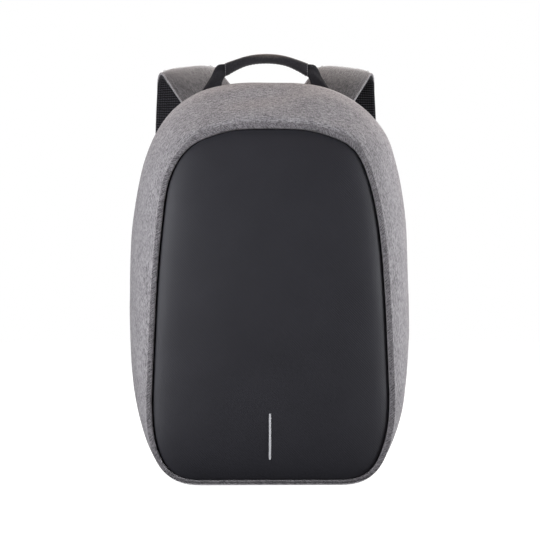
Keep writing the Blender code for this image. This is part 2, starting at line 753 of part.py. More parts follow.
def anchor_face_y():
    """The outer face of the anchor tabs, which lie on the back panel's lower corners."""
    return BACK_FACE_Y + CLEARANCE + ANCHOR_THICKNESS


def build_anchor(name, side, material):
    """A stitched tab on a lower corner of the back panel, wide at the seam and narrower at its top."""
    x = STRAP_STATIONS[-1].across * BODY_WIDTH / 2
    half = WEBBING_WIDTH / 2 + ANCHOR_BORDER
    middle = (ANCHOR_TOP + ANCHOR_BOTTOM) / 2
    outline = [
        (x - half, ANCHOR_TOP),
        (x - half - 0.43 * ANCHOR_FLARE, middle),
        (x - half - ANCHOR_FLARE, ANCHOR_BOTTOM),
        (x - 0.25 * half, ANCHOR_BOTTOM + 0.14 * ANCHOR_FLARE),
        (x + half, ANCHOR_BOTTOM + 1.14 * ANCHOR_FLARE),
        (x + half, middle),
        (x + half, ANCHOR_TOP),
    ]
    rings = []
    for y in (BACK_FACE_Y + CLEARANCE, anchor_face_y()):
        rings.append([Vector((side * px, y, pz)) for px, pz in outline])
    return loft(f"strap_anchor_{name}", rings, material)


def body_envelope():
    """The outside of the body a clearance larger all round, to cut the feet of what stands on it."""
    rings = [section_ring(section) for section in SECTIONS]
    rings.append(back_edge_ring(0.0, BACK_FACE_Y))
    grown = [shifted(ring, row, CLEARANCE) for ring, row in zip(rings, outward_normals(rings))]
    obj = loft("body_envelope", grown, bpy.data.materials["black_cloth"])
    obj.hide_render = True
    obj.display_type = "WIRE"
    return obj


def handle_point(across, rise):
    """A point in the handle's middle plane, at shares of half its span and of its rise above the body."""
    x = HANDLE_SHIFT + across * HANDLE_SPAN / 2
    return Vector((x, SHELL_BACK_Y - HANDLE_SETBACK, BODY_HEIGHT + rise * HANDLE_RISE))


def build_handle_legs(envelope, material):
    for side, name in ((1, "right"), (-1, "left")):
        line = []
        for i in range(LEG_STEPS + 1):
            station = blended(LEG_STATIONS, i / LEG_STEPS)
            centre = handle_point(side * station.across, station.rise)
            turn = math.radians(station.turn)
            across = Vector((side * math.cos(turn), 0.0, math.sin(turn)))
            line.append((centre, across, station.width * HANDLE_WEBBING_WIDTH / 2))
        line[-1][0].x += side * CLEARANCE
        rings = []
        deep, thick = Vector((0.0, 1.0, 0.0)), HANDLE_WEBBING_THICKNESS / 2
        for centre, across, half in line:
            rings.append(slab_ring(centre, across, deep, half, thick, HANDLE_WEBBING_EDGE))
        leg = loft(f"handle_leg_{name}", rings, material)
        cut(leg, envelope)


def build_handle_grip(material):
    """The padded grip: an arched bar of rounded section between the two legs."""
    stations = []
    steps = 8
    for i in range(steps + 1):
        stations.append(blended(GRIP_STATIONS, i / steps))
    mirror = [station._replace(across=-station.across) for station in reversed(stations[:-1])]
    rings = []
    whole = stations + mirror
    for station in whole:
        centre = handle_point(station.across, station.rise)
        ring = []
        for k in range(12):
            angle = math.tau * (k + 0.5) / 12
            wide = squared(math.cos(angle)) * station.depth * GRIP_DEPTH / 2
            tall = squared(math.sin(angle)) * station.height * GRIP_HEIGHT / 2
            ring.append(centre + Vector((0.0, wide, tall)))
        rings.append(ring)
    return loft("handle_grip", rings, material)


def main():
    clear_scene()
    materials = make_materials()
    build_shell(materials["grey_cloth"])
    build_front_panel(materials["front_cloth"])
    build_reflector(materials["reflector"])
    build_zip_track(materials["black_cloth"])
    build_zip_sliders(materials["zip_metal"], materials["black_cloth"])
    build_back_panel(materials["black_cloth"])
    build_back_pads(materials["air_mesh"])
    build_yoke(materials["black_cloth"])
    build_straps(materials["grey_cloth"], materials["air_mesh"])
    for side, name in ((1, "right"), (-1, "left")):
        build_buckle(f"ladder_lock_{name}", side, materials["plastic"])
        build_adjuster(name, side, materials["webbing"])
        build_anchor(name, side, materials["black_cloth"])
    envelope = body_envelope()
    build_handle_legs(envelope, materials["webbing"])
    build_handle_grip(materials["black_cloth"])


main()
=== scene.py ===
"""The anti-theft backpack, dressed in cloth, mesh and webbing, in front of the photograph's camera."""

import json
from collections import namedtuple
from math import copysign, cos, dist, exp, pi, radians, sin, tau

import bmesh
import bpy
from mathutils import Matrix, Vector, noise

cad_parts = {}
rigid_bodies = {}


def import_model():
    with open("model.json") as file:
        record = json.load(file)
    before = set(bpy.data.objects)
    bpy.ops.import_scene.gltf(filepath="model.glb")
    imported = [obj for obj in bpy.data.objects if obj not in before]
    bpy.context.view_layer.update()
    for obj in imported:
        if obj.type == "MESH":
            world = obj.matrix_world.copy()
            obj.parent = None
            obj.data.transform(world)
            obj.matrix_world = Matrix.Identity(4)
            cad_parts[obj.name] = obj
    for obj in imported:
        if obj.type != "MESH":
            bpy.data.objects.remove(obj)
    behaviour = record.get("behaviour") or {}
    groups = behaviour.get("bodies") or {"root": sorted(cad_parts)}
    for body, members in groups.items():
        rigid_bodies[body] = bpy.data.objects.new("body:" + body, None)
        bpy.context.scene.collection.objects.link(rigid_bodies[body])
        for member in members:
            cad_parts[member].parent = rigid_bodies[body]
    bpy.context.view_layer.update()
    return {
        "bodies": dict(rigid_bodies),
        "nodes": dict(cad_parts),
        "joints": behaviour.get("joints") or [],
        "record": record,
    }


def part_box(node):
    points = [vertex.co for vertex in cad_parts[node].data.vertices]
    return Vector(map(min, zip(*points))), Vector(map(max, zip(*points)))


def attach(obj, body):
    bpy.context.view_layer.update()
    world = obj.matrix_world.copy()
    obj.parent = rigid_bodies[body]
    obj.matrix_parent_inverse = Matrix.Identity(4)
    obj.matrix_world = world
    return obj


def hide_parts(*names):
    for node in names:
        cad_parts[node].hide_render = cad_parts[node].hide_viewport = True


# The body, the lip and the panel, as in the solids, but for the panel's fuller crown
BODY_HEIGHT = 0.418
BODY_WIDTH = 0.294
SHELL_DEPTH = 0.112
SHELL_WALL = 0.005
FRONT_LEAN = 0.024
FRONT_TUCK = 0.005
LIP_WIDTH = 0.0064
LIP_DROP = 0.0042
CLEARANCE = 0.0003
PANEL_EDGE = 0.004
PANEL_CROWN = 0.0095

# Soft forms that the solids leave out: the crease behind the lip, flatter sides, lower upper corners, and
# the lip's narrower run along the base. The dents' fades, CREASE_REACH and SIDE_REACH are shares of the
# shell's depth.
DENT_FADE_FRONT = 0.14
DENT_FADE_BACK = 0.06
FIRM_BASE = 0.03
CREASE_DEPTH = 0.0032
CREASE_REACH = 0.050
CREASE_START = 0.335
CREASE_FADE = 0.03
SIDE_FLATTENING = 0.0018
SIDE_REACH = 0.09
CORNER_MIDDLE = 0.068
CORNER_WIDTH = 0.026
CORNER_DROP = 0.0042
HEM_DROP = 0.0017
HEM_HEIGHT = 0.030
HEM_TUCK = 0.0050
HEM_TUCK_HEIGHT = 0.008
SOFT_RELIEF = 0.0005
LIP_ROOT = 2.3 * LIP_DROP
EDGE_ROLL = 0.0012
EDGE_TURN = 0.0012

# The light bar, which is a little narrower and shorter than its solid
BAR_NARROWING = 0.74
BAR_SHIFT = -0.0011
BAR_TRIM = 0.001
BAR_THICKNESS = 0.0005
BAR_END = 0.0012
BAR_LIFT = 0.0001

# The zip, the back panel and its piping
ZIP_TAPE_WIDTH = 0.007
ZIP_TAPE_THICKNESS = 0.0025
ZIP_TAPE_INSET = 0.0012
ZIP_START_HEIGHT = 0.050
TOOTH_PITCH = 0.0014
TOOTH_LENGTH = 0.0028
TOOTH_RADIUS = 0.00062
TOOTH_STAGGER = 0.0003
TOOTH_LIFT = 0.0002
BACK_PLATE_THICKNESS = 0.006
BACK_PLATE_INSET = 0.001
BACK_PLATE_ROUNDING = 0.0045
BACK_PLATE_EDGE = 0.0006
BACK_PLATE_FOLD = 0.030
PIPING_RADIUS = 0.0013
PIPING_INSET = 0.0007
PIPING_RISE = 0.0004

# The back pads, the yoke and the anchors
PAD_THICKNESS = 0.0078
PAD_CHANNEL = 0.026
PAD_MARGIN = 0.024
PAD_CORNER = 0.014
PAD_BOTTOM = 0.205 * BODY_HEIGHT
PAD_GAP_TO_YOKE = 0.012
PAD_PRESSURE = 3.0
PAD_SWELLING = 0.0035
PAD_GRID = 0.003
PAD_FRAMES = 20
PAD_SEAM = 0.0016
PAD_PIPING_RADIUS = 0.0009
PAD_PIPING_RISE = 0.0007
YOKE_HEIGHT = 0.030
YOKE_THICKNESS = 0.0085
YOKE_BORDER = 0.004
YOKE_SAG = 0.002
WEBBING_WIDTH = 0.020
ANCHOR_TOP = 0.150 * BODY_HEIGHT
ANCHOR_BOTTOM = 0.034 * BODY_HEIGHT
ANCHOR_THICKNESS = 0.0024
ANCHOR_SEWN_FROM = 0.019
ANCHOR_SEWN_TO = 0.029

# The straps
STRAP_WIDTH = 0.061
STRAP_LOOP = 0.060
STRAP_COVER_THICKNESS = 0.0036
STRAP_MESH_THICKNESS = 0.0052
STRAP_LEAN = 0.0026
STRAP_CUP = 0.0020
STRAP_DOME = 0.0018
STRAP_SHOULDER = 0.0014
STRAP_SINK = 0.0002
STRAP_LINING_SINK = 0.0004
STRAP_FACE_EDGE = 0.0026
STRAP_LINING_EDGE = 0.0022
BINDING_RADIUS = 0.0014
BINDING_INSET = 0.0011
BINDING_RISE = 0.0009
STRAP_STITCH_INSET = 0.0048
THREAD_LIFT = 0.0002

# The handle
HANDLE_SPAN = 0.089
HANDLE_RISE = 0.0288
HANDLE_SETBACK = 0.008
HANDLE_SHIFT = -0.0025
HANDLE_WEBBING_THICKNESS = 0.003
LEG_EDGE = 0.0006
LEG_FOLD = 0.0030
LEG_FOLD_WIDTH = 0.42
LEG_STITCH_INSET = 0.0022
GRIP_HEIGHT = 0.0104
GRIP_DEPTH = 0.013
GRIP_SIDES = 28
GRIP_PINCH = 0.06
GRIP_END_PINCH = 0.07

# The floor and the camera
FLOOR_RADIUS = 4.0
FLOOR_DROP = 0.0004
LENS_MM = 130.7
SENSOR_MM = 36.0
CAMERA_DISTANCE = 2.0
CAMERA_TURN = -1.3
CAMERA_HEIGHT = 0.22
CAMERA_SHIFT = -0.0010

FRONT_Y = -SHELL_DEPTH / 2
SHELL_BACK_Y = SHELL_DEPTH / 2
ZIP_FRONT_Y = SHELL_BACK_Y + CLEARANCE
PLATE_FRONT_Y = ZIP_FRONT_Y + ZIP_TAPE_WIDTH + CLEARANCE
BACK_FACE_Y = PLATE_FRONT_Y + BACK_PLATE_THICKNESS

# Points of half an outline, round which every ring of the body is built
BASE_STEPS = 14
CORNER_STEPS = 46
CROWN_STEPS = 72
FINE_STEPS = 400

# Cross-sections of the shell from the front rim to the back edge, as in the solids
Section = namedtuple("Section", "depth lean width belly top base heel crown_power corner_power taper")
SECTIONS = [Section(*row) for row in (
    (0.000, 1.00, 0.867, 0.220, 0.890, 0.45, 0.000, 4.45, 2.85, 0.088),
    (0.040, 0.95, 0.899, 0.240, 0.908, 0.46, 0.000, 4.20, 2.65, 0.078),
    (0.130, 0.82, 0.936, 0.285, 0.932, 0.47, 0.000, 3.85, 2.42, 0.062),
    (0.270, 0.60, 0.970, 0.355, 0.961, 0.49, 0.000, 3.50, 2.40, 0.044),
    (0.430, 0.38, 0.992, 0.415, 0.986, 0.505, 0.000, 3.22, 2.42, 0.028),
    (0.590, 0.18, 1.000, 0.440, 0.999, 0.51, 0.000, 3.10, 2.50, 0.022),
    (0.740, 0.07, 0.996, 0.440, 1.000, 0.515, 0.000, 3.10, 2.55, 0.022),
    (0.880, 0.00, 0.970, 0.430, 0.991, 0.53, 0.000, 3.18, 2.65, 0.022),
    (1.000, 0.00, 0.925, 0.420, 0.974, 0.55, 0.010, 3.30, 2.80, 0.020),
)]

# Centre line of a shoulder strap from its upper seam to its lower end, as in the solids
Station = namedtuple("Station", "across behind height tilt width")
STRAP_STATIONS = [Station(*row) for row in (
    (0.259, 0.080, 0.8905, 0, 1.05),
    (0.310, 0.085, 0.915, 2, 1.06),
    (0.380, 0.135, 0.945, 3, 1.06),
    (0.455, 0.230, 0.984, 4, 1.05),
    (0.530, 0.385, 1.022, 5, 1.02),
    (0.592, 0.640, 1.0510, 6, 0.99),
    (0.622, 0.880, 1.041, 5, 0.98),
    (0.629, 1.000, 1.001, 3, 0.98),
    (0.632, 1.000, 0.940, 0, 1.00),
    (0.634, 0.890, 0.850, 0, 1.02),
    (0.640, 0.740, 0.720, 0, 1.03),
    (0.646, 0.590, 0.600, 0, 1.00),
    (0.652, 0.470, 0.495, 0, 0.90),
    (0.661, 0.385, 0.410, 0, 0.72),
    (0.670, 0.370, 0.345, 0, 0.52),
)]

# Inner and outer edge of one handle leg from the shell up to the grip
LegStation = namedtuple("LegStation", "inner inner_rise outer outer_rise")
LEG_STATIONS = [LegStation(*row) for row in (
    (1.20, -0.80, 1.66, -0.60),
    (1.12, -0.35, 1.535, -0.17),
    (1.09, -0.08, 1.42, 0.12),
    (1.075, 0.04, 1.335, 0.33),
    (1.065, 0.12, 1.285, 0.50),
    (1.045, 0.20, 1.225, 0.67),
    (1.020, 0.28, 1.145, 0.775),
    (0.985, 0.36, 0.985, 0.800),
)]

# Half of the grip from its end to the middle, as in the solids
GripStation = namedtuple("GripStation", "across rise height depth")
GRIP_STATIONS = [GripStation(*row) for row in (
    (1.00, 0.575, 1.42, 0.62),
    (0.93, 0.620, 1.34, 0.80),
    (0.78, 0.730, 1.18, 0.95),
    (0.52, 0.890, 1.02, 1.00),
    (0.26, 0.975, 0.98, 1.00),
    (0.00, 1.000, 0.98, 1.00),
)]

# Profile of the rolled lip, from the seam behind the rim to the groove round the panel:
# inset from the rim and distance behind it, as shares of LIP_WIDTH and LIP_DROP
LipPoint = namedtuple("LipPoint", "inset behind")
LIP_PROFILE = [LipPoint(*row) for row in (
    (0.20, 1.60),
    (0.10, 1.00),
    (0.045, 0.50),
    (0.03, 0.15),
    (0.07, -0.04),
    (0.20, -0.09),
    (0.40, -0.10),
    (0.62, -0.07),
    (0.80, 0.02),
    (0.90, 0.22),
    (0.94, 0.70),
    (0.95, 1.50),
)]

# Soft dents and swells of the shell: middle and half-size in x and z, slant in degrees, depth inwards,
# and the stretch of the shell's depth that they cover
Dent = namedtuple("Dent", "x z length height slant depth front back")
DENTS = (
    Dent(-0.006, 0.402, 0.045, 0.0085, 9, 0.0032, 0.10, 0.55),
    Dent(0.052, 0.395, 0.032, 0.012, -16, -0.0022, 0.10, 0.60),
    Dent(-0.085, 0.372, 0.035, 0.012, 32, 0.0006, 0.15, 0.60),
    Dent(0.0, 0.385, 0.070, 0.006, 0, -0.0005, 0.05, 0.40),
)

# Rings of the shell turned in behind its rim, and of the panel turned back behind its edge:
# inset and distance back, and scale and distance forward
RIM_TUCKS = ((0.0006, 0.0020), (0.0022, 0.0050))
PANEL_TUCKS = ((0.985, -0.006), (1.0, -0.004))

# Unevenness of the shell's padding: how fine it is, how deep, and where in the noise it starts
SWELLS = ((16.0, 0.0010, (3.1, 0.0, 7.7)), (42.0, 0.0003, (0.4, 5.2, 1.3)))

# Yarns of the melange: length, width and share in the colour
YARNS = ((0.0064, 0.0010, 0.40), (0.0022, 0.0008, 0.34), (0.0009, 0.0030, 0.26))

# How the soft body leans away from an even shape: the side it acts on, the middle and half-height
# of the stretch, the shift outwards, and whether it acts at the front (0) or all the way back (1)
Lean = namedtuple("Lean", "side z reach shift back")
LEANS = (
    Lean(1, 0.364, 0.030, 0.0044, 1),
    Lean(-1, 0.318, 0.036, 0.0044, 0),
    Lean(1, 0.026, 0.030, -0.0024, 1),
)

# A point of a closed curve
Corner = namedtuple("Corner", "x z")


# Curves and rings

def backwards(distance):
    return Vector((0.0, distance, 0.0))


def bump(place, middle, reach):
    """A smooth hump: 1 at its middle, and nearly gone at twice its reach."""
    return exp(-(((place - middle) / reach) ** 2))


def blended(rows, share):
    """The values of a table of rows at a share of its length, on a smooth curve through them."""
    at = share * (len(rows) - 1)
    k = min(int(at), len(rows) - 2)
    t = at - k
    before, start, end, after = (rows[min(max(i, 0), len(rows) - 1)] for i in (k - 1, k, k + 1, k + 2))
    values = []
    for a, b, c, d in zip(before, start, end, after):
        values.append(b + 0.5 * t * (c - a + t * (2 * a - 5 * b + 4 * c - d + t * (3 * (b - c) + d - a))))
    return type(rows[0])(*values)


def sampled(rows, steps):
    """The values of a table of rows at equal steps from its start to its end."""
    return [blended(rows, i / steps) for i in range(steps + 1)]


def circle(sides, start=0.0):
    """Places round a circle of radius 1, as pairs."""
    angles = [tau * (i + start) / sides for i in range(sides)]
    return [(cos(angle), sin(angle)) for angle in angles]


def evenly_spaced(line, steps):
    """Points that divide a polyline of 2-D points into equal lengths."""
    lengths = [0.0]
    for a, b in zip(line, line[1:]):
        lengths.append(lengths[-1] + dist(a, b))
    points, k = [], 0
    for i in range(steps + 1):
        at = lengths[-1] * i / steps
        while k < len(line) - 2 and lengths[k + 1] < at:
            k += 1
        share = (at - lengths[k]) / (lengths[k + 1] - lengths[k])
        points.append([a + (b - a) * share for a, b in zip(line[k], line[k + 1])])
    return points


def half_outline(section):
    """Half of a section's outline as x and z, from the base's middle round one side to the top's middle."""
    half = BODY_WIDTH / 2
    reach, base = section.width * half, section.base * half
    heights = section.belly, section.top, max(0.0, section.heel)
    belly, top, heel = (share * BODY_HEIGHT for share in heights)
    corner, crown = [], []
    for i in range(FINE_STEPS + 1):
        angle = pi / 2 * i / FINE_STEPS
        across = sin(angle) ** (2 / section.corner_power)
        down = cos(angle) ** (2 / section.corner_power)
        corner.append((base + (reach - base) * across, belly - (belly - heel) * down))
        across = cos(angle) ** (2 / section.crown_power)
        up = sin(angle) ** (2 / section.crown_power)
        crown.append((reach * (1 - section.taper * up) * across, belly + (top - belly) * up))
    flat = [(base * i / BASE_STEPS, heel) for i in range(BASE_STEPS)]
    return flat + evenly_spaced(corner, CORNER_STEPS)[:-1] + evenly_spaced(crown, CROWN_STEPS)


def front_curve(height):
    """How far the front stands back from its most forward plane at a height."""
    rim_top = SECTIONS[0].top * BODY_HEIGHT
    start = 0.36 * BODY_HEIGHT
    tuck_end = 0.16 * BODY_HEIGHT
    lean = FRONT_LEAN * (max(0.0, height - start) / (rim_top - start)) ** 2
    tuck = FRONT_TUCK * (max(0.0, tuck_end - height) / tuck_end) ** 2
    return lean + tuck


def section_ring(section):
    half = half_outline(section)
    whole = half + [(-x, z) for x, z in reversed(half[1:-1])]
    y = FRONT_Y + section.depth * SHELL_DEPTH
    return [Vector((x, y + section.lean * front_curve(z), z)) for x, z in whole]


def inset_ring(ring, inset, back=0.0):
    """A ring moved inwards in its own plane by inset, and towards +Y by back."""
    moved = []
    count = len(ring)
    for i, point in enumerate(ring):
        along = ring[(i + 1) % count] - ring[i - 1]
        inwards = Vector((-along.z, 0.0, along.x)).normalized()
        moved.append(point + inwards * inset + backwards(back))
    return moved


def flattened(ring, y):
    return [Vector((p.x, y, p.z)) for p in ring]


def outward_normals(rings):
    normals = []
    for k, ring in enumerate(rings):
        before, after = rings[max(k - 1, 0)], rings[min(k + 1, len(rings) - 1)]
        around = [ring[(i + 1) % len(ring)] - ring[i - 1] for i in range(len(ring))]
        normals.append([(b - a).cross(c).normalized() for a, b, c in zip(before, after, around)])
    return normals


# Meshes

def mean_lengths(lines):
    """Running lengths along several polylines of equally many points, averaged."""
    totals = [0.0]
    for k in range(len(lines[0]) - 1):
        step = sum((line[k + 1] - line[k]).length for line in lines) / len(lines)
        totals.append(totals[-1] + step)
    return totals


def surface(name, rows, material, hoop=False, capped=False):
    """A mesh through rings of points, with a map in metres: round each ring, then from ring to ring."""
    count = len(rows[0])
    closed = [[*row, row[0]] for row in rows]
    spans = [*closed, closed[0]] if hoop else closed
    along = mean_lengths(spans[:: max(1, len(spans) // 8)])
    columns = range(0, len(spans[0]), max(1, len(spans[0]) // 12))
    over = mean_lengths([[row[i] for row in spans] for i in columns])
    shape = bmesh.new()
    weave = shape.loops.layers.uv.new("weave")
    verts = [[shape.verts.new(p) for p in row] for row in rows]
    for k in range(len(spans) - 1):
        low, high = verts[k], verts[(k + 1) % len(rows)]
        for i in range(len(spans[0]) - 1):
            j = (i + 1) % count
            face = shape.faces.new((low[i], low[j], high[j], high[i]))
            corners = ((i, k), (i + 1, k), (i + 1, k + 1), (i, k + 1))
            for loop, (column, row) in zip(face.loops, corners):
                loop[weave].uv = (along[column], over[row])
    if capped:
        for row in (verts[0], verts[-1]):
            cap = shape.faces.new(row)
            for loop in cap.loops:
                loop[weave].uv = (loop.vert.co.x, loop.vert.co.z)
    bmesh.ops.recalc_face_normals(shape, faces=shape.faces)
    return finish_mesh(name, shape, material)


def placed(name, data):
    """A new object in the scene."""
    obj = bpy.data.objects.new(name, data)
    bpy.context.scene.collection.objects.link(obj)
    return obj


def new_mesh(name, shape, material):
    mesh = bpy.data.meshes.new(name)
    shape.to_mesh(mesh)
    shape.free()
    mesh.materials.append(material)
    return mesh


def finish_mesh(name, shape, material, sharp=40.0):
    mesh = new_mesh(name, shape, material)
    mesh.shade_smooth()
    mesh.set_sharp_from_angle(angle=radians(sharp))
    obj = placed(name, mesh)
    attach(obj, "root")
    return obj


def frames_along(points, closed=False):
    """At each point of a line: the point, and two directions square to the line."""
    frames = []
    count = len(points)
    reference = Vector((0.0, 1.0, 0.0))
    for i, point in enumerate(points):
        before = points[i - 1] if closed or i else points[0]
        after = points[(i + 1) % count] if closed or i < count - 1 else points[-1]
        direction = (after - before).normalized()
        side = direction.cross(reference)
        if side.length < 0.05:
            side = direction.cross(Vector((1.0, 0.0, 0.0)))
        side.normalize()
        frames.append((point, side, side.cross(direction).normalized()))
    return frames


def tube(name, points, radius, material, sides=8, closed=False):
    rows = []
    for point, side, up in frames_along(points, closed):
        rows.append([point + (side * a + up * b) * radius for a, b in circle(sides)])
    return surface(name, rows, material, hoop=closed, capped=not closed)


def resampled(points, step):
    """Points a step apart along a polyline."""
    found, carried = [points[0]], 0.0
    for a, b in zip(points, points[1:]):
        length = (b - a).length
        while carried + length >= step:
            a = a.lerp(b, (step - carried) / length)
            length = (b - a).length
            carried = 0.0
            found.append(a)
        carried += length
    return found


def spindles(name, spans, radius, material):
    """Short rounded bars from point to point, such as thread stitches or zip teeth, as one mesh."""
    shape = bmesh.new()
    around = circle(5)
    for start, end in spans:
        direction = (end - start).normalized()
        side = direction.orthogonal().normalized()
        up = direction.cross(side)
        rings = []
        for share, size in ((0.0, 0.35), (0.22, 0.95), (0.78, 0.95), (1.0, 0.35)):
            middle = start.lerp(end, share)
            offsets = [(side * a + up * b) * radius * size for a, b in around]
            rings.append([shape.verts.new(middle + offset) for offset in offsets])
        for low, high in zip(rings, rings[1:]):
            for i in range(5):
                shape.faces.new((low[i - 1], low[i], high[i], high[i - 1]))
        shape.faces.new(reversed(rings[0]))
        shape.faces.new(rings[-1])
    bmesh.ops.recalc_face_normals(shape, faces=shape.faces)
    return finish_mesh(name, shape, material, sharp=80.0)


def stitches(name, paths, material, length=0.0030, gap=0.0012, radius=0.00030):
    """Rows of thread stitches laid along lines."""
    spans = []
    for path in paths:
        marks = resampled(path, (length + gap) / 4)
        spans += [(marks[k], marks[k + 3]) for k in range(0, len(marks) - 3, 4)]
    seam = spindles(name, spans, radius, material)


def swollen(obj, is_held, pressure, cap):
    """Lets a pad's cover swell over its filling by cloth simulation. No point moves further than cap."""
    remesh = obj.modifiers.new("even_grid", "REMESH")
    remesh.mode = "VOXEL"
    remesh.voxel_size = PAD_GRID
    apply_modifiers(obj)
    start = [v.co.copy() for v in obj.data.vertices]
    held = obj.vertex_groups.new(name="held")
    held.add([i for i, co in enumerate(start) if is_held(co)], 1.0, "REPLACE")
    cloth = obj.modifiers.new("swelling", "CLOTH")
    settings = cloth.settings
    settings.quality = 6
    settings.mass = 0.3
    settings.tension_stiffness = 12
    settings.compression_stiffness = 12
    settings.bending_stiffness = 0.6
    settings.use_pressure = True
    settings.uniform_pressure_force = pressure
    settings.effector_weights.gravity = 0.0
    settings.vertex_group_mass = "held"
    cloth.point_cache.frame_end = PAD_FRAMES
    scene = bpy.context.scene
    for frame in range(1, PAD_FRAMES + 1):
        scene.frame_set(frame)
    apply_modifiers(obj)
    scene.frame_set(1)
    for vertex, before in zip(obj.data.vertices, start):
        moved = vertex.co - before
        if moved.length > cap:
            vertex.co = before + moved * cap / moved.length


def apply_modifiers(obj):
    """Keeps what the modifiers make of the mesh, and takes them off."""
    seen = obj.evaluated_get(bpy.context.evaluated_depsgraph_get())
    mesh = bpy.data.meshes.new_from_object(seen)
    obj.modifiers.clear()
    obj.data = mesh
    mesh.shade_smooth()


# Materials

class Nodes:
    """The nodes of a material or of the world, with short calls that add and join them."""

    def __init__(self, name, makers=bpy.data.materials, shader="Principled BSDF"):
        self.owner = makers.new(name)
        self.owner.use_nodes = True
        self.tree = self.owner.node_tree
        self.shader = self.tree.nodes[shader]

    def fill(self, node, inputs):
        """Sets a node's inputs, or joins them where the value is another node's output."""
        for key, value in inputs.items():
            if isinstance(value, bpy.types.NodeSocket):
                self.tree.links.new(value, node.inputs[key])
            else:
                node.inputs[key].default_value = value

    def add(self, kind, inputs, output=0, **settings):
        node = self.tree.nodes.new(kind)
        for key, value in settings.items():
            setattr(node, key, value)
        self.fill(node, inputs)
        return node.outputs[output]

    def maths(self, operation, a, b=0.0):
        return self.add("ShaderNodeMath", {0: a, 1: b}, operation=operation)

    def sum(self, a, b):
        return self.maths("ADD", a, b)

    def times(self, a, b):
        return self.maths("MULTIPLY", a, b)

    def weave(self, along, across, turn=0.0):
        """The cloth's own map, scaled so that one unit is along and across metres."""
        place = self.add("ShaderNodeUVMap", {}, uv_map="weave")
        if turn:
            place = self.add("ShaderNodeMapping", {"Vector": place, "Rotation": (0, 0, turn)})
        return self.add("ShaderNodeMapping", {"Vector": place, "Scale": (1 / along, 1 / across, 1)})

    def space(self, x, y=None, z=None):
        """Places on the object, where one unit is x, y and z metres, or x metres along each axis."""
        place = self.add("ShaderNodeTexCoord", {}, output=3)
        scale = (1 / x, 1 / (y or x), 1 / (z or x))
        return self.add("ShaderNodeMapping", {"Vector": place, "Scale": scale})

    def noise(self, place, detail=2.0):
        inputs = {"Vector": place, "Scale": 1.0, "Detail": detail, "Roughness": 0.5}
        return self.add("ShaderNodeTexNoise", inputs)

    def parts(self, place):
        return self.add("ShaderNodeSeparateXYZ", {0: place}).node.outputs

    def wave(self, value, phase=0.0):
        """A wave from -1 to 1 that repeats with each whole number."""
        return self.maths("SINE", self.sum(self.times(value, tau), phase))

    def spread(self, value, low, high, start=0.0, end=1.0):
        inputs = {"Value": value, "From Min": low, "From Max": high, "To Min": start, "To Max": end}
        return self.add("ShaderNodeMapRange", inputs)

    def blend(self, factor, a, b):
        """A mix of two colours, each a tuple or a socket."""
        a, b = ((*colour, 1) if isinstance(colour, tuple) else colour for colour in (a, b))
        return self.add("ShaderNodeMix", {0: factor, 6: a, 7: b}, output=2, data_type="RGBA")

    def finish(self, colour, height, relief, roughness, sheen=0.0, sheen_roughness=0.5, specular=0.3):
        self.fill(self.shader, {
            "Base Color": colour,
            "Roughness": roughness,
            "Specular IOR Level": specular,
            "Sheen Weight": sheen,
            "Sheen Roughness": sheen_roughness,
            "Normal": self.add("ShaderNodeBump", {"Height": height, "Distance": relief, "Strength": 1.0}),
        })
        return self.owner


def melange_cloth(name, light, dark, turn=0.0, coarse=1.0, ribs=0.0, fuzz=0.15):
    """Two-tone melange: pale and dark yarns in short streaks, with some twill ribs and fuzz."""
    nodes = Nodes(name)
    clouds = nodes.noise(nodes.weave(0.030, 0.014, turn))
    yarn = nodes.times(nodes.sum(clouds, -0.5), 0.10)
    for length, width, share in YARNS:
        grain = nodes.noise(nodes.weave(length * coarse, width * coarse, turn), detail=1.0)
        yarn = nodes.sum(yarn, nodes.times(grain, share))
    ridge = nodes.wave(nodes.parts(nodes.weave(1.0, 0.0021, turn))[1])
    yarn = nodes.sum(yarn, nodes.times(ridge, 0.1 * ribs))
    threads = nodes.parts(nodes.weave(0.00085, 0.00085, turn))
    weave = nodes.times(nodes.wave(threads[0]), nodes.wave(threads[1]))
    height = nodes.sum(nodes.times(yarn, 0.8), nodes.times(weave, 0.25))
    colour = nodes.blend(nodes.spread(yarn, 0.39, 0.61), dark, light)
    return nodes.finish(colour, height, 0.00022, 0.92, sheen=fuzz, specular=0.12)


def twill_cloth(name, dark, light):
    """Smooth coated twill: fine diagonal lines over a nearly black ground."""
    nodes = Nodes(name)
    place = nodes.parts(nodes.space(0.0026))
    diagonal = nodes.wave(nodes.sum(place[0], place[2]))
    fine = nodes.noise(nodes.space(0.0012), detail=1.0)
    clouds = nodes.noise(nodes.space(0.05))
    mixed = nodes.sum(nodes.times(diagonal, 0.13), nodes.times(fine, 0.5))
    mixed = nodes.sum(mixed, nodes.times(clouds, 0.45))
    colour = nodes.blend(nodes.spread(mixed, 0.1, 0.9), dark, light)
    height = nodes.sum(nodes.times(diagonal, 0.3), nodes.times(fine, 0.5))
    roughness = nodes.spread(fine, 0.2, 0.8, 0.52, 0.60)
    return nodes.finish(colour, height, 0.00012, roughness, sheen=0.02, sheen_roughness=0.4, specular=0.46)


def plain_weave(nodes, thread, dark, light):
    """The height and the colour of black polyester in a plain weave."""
    threads = nodes.parts(nodes.space(thread))
    weave = nodes.times(nodes.wave(threads[0]), nodes.wave(nodes.sum(threads[2], threads[1])))
    height = nodes.sum(nodes.times(weave, 0.25), nodes.noise(nodes.space(thread)))
    return height, nodes.blend(nodes.spread(height, 0.2, 0.8), dark, light)


def plain_cloth(name, dark, light, thread=0.0011, roughness=0.8, sheen=0.15):
    nodes = Nodes(name)
    height, colour = plain_weave(nodes, thread, dark, light)
    return nodes.finish(colour, height, 0.00035, roughness, sheen=sheen, specular=0.2)


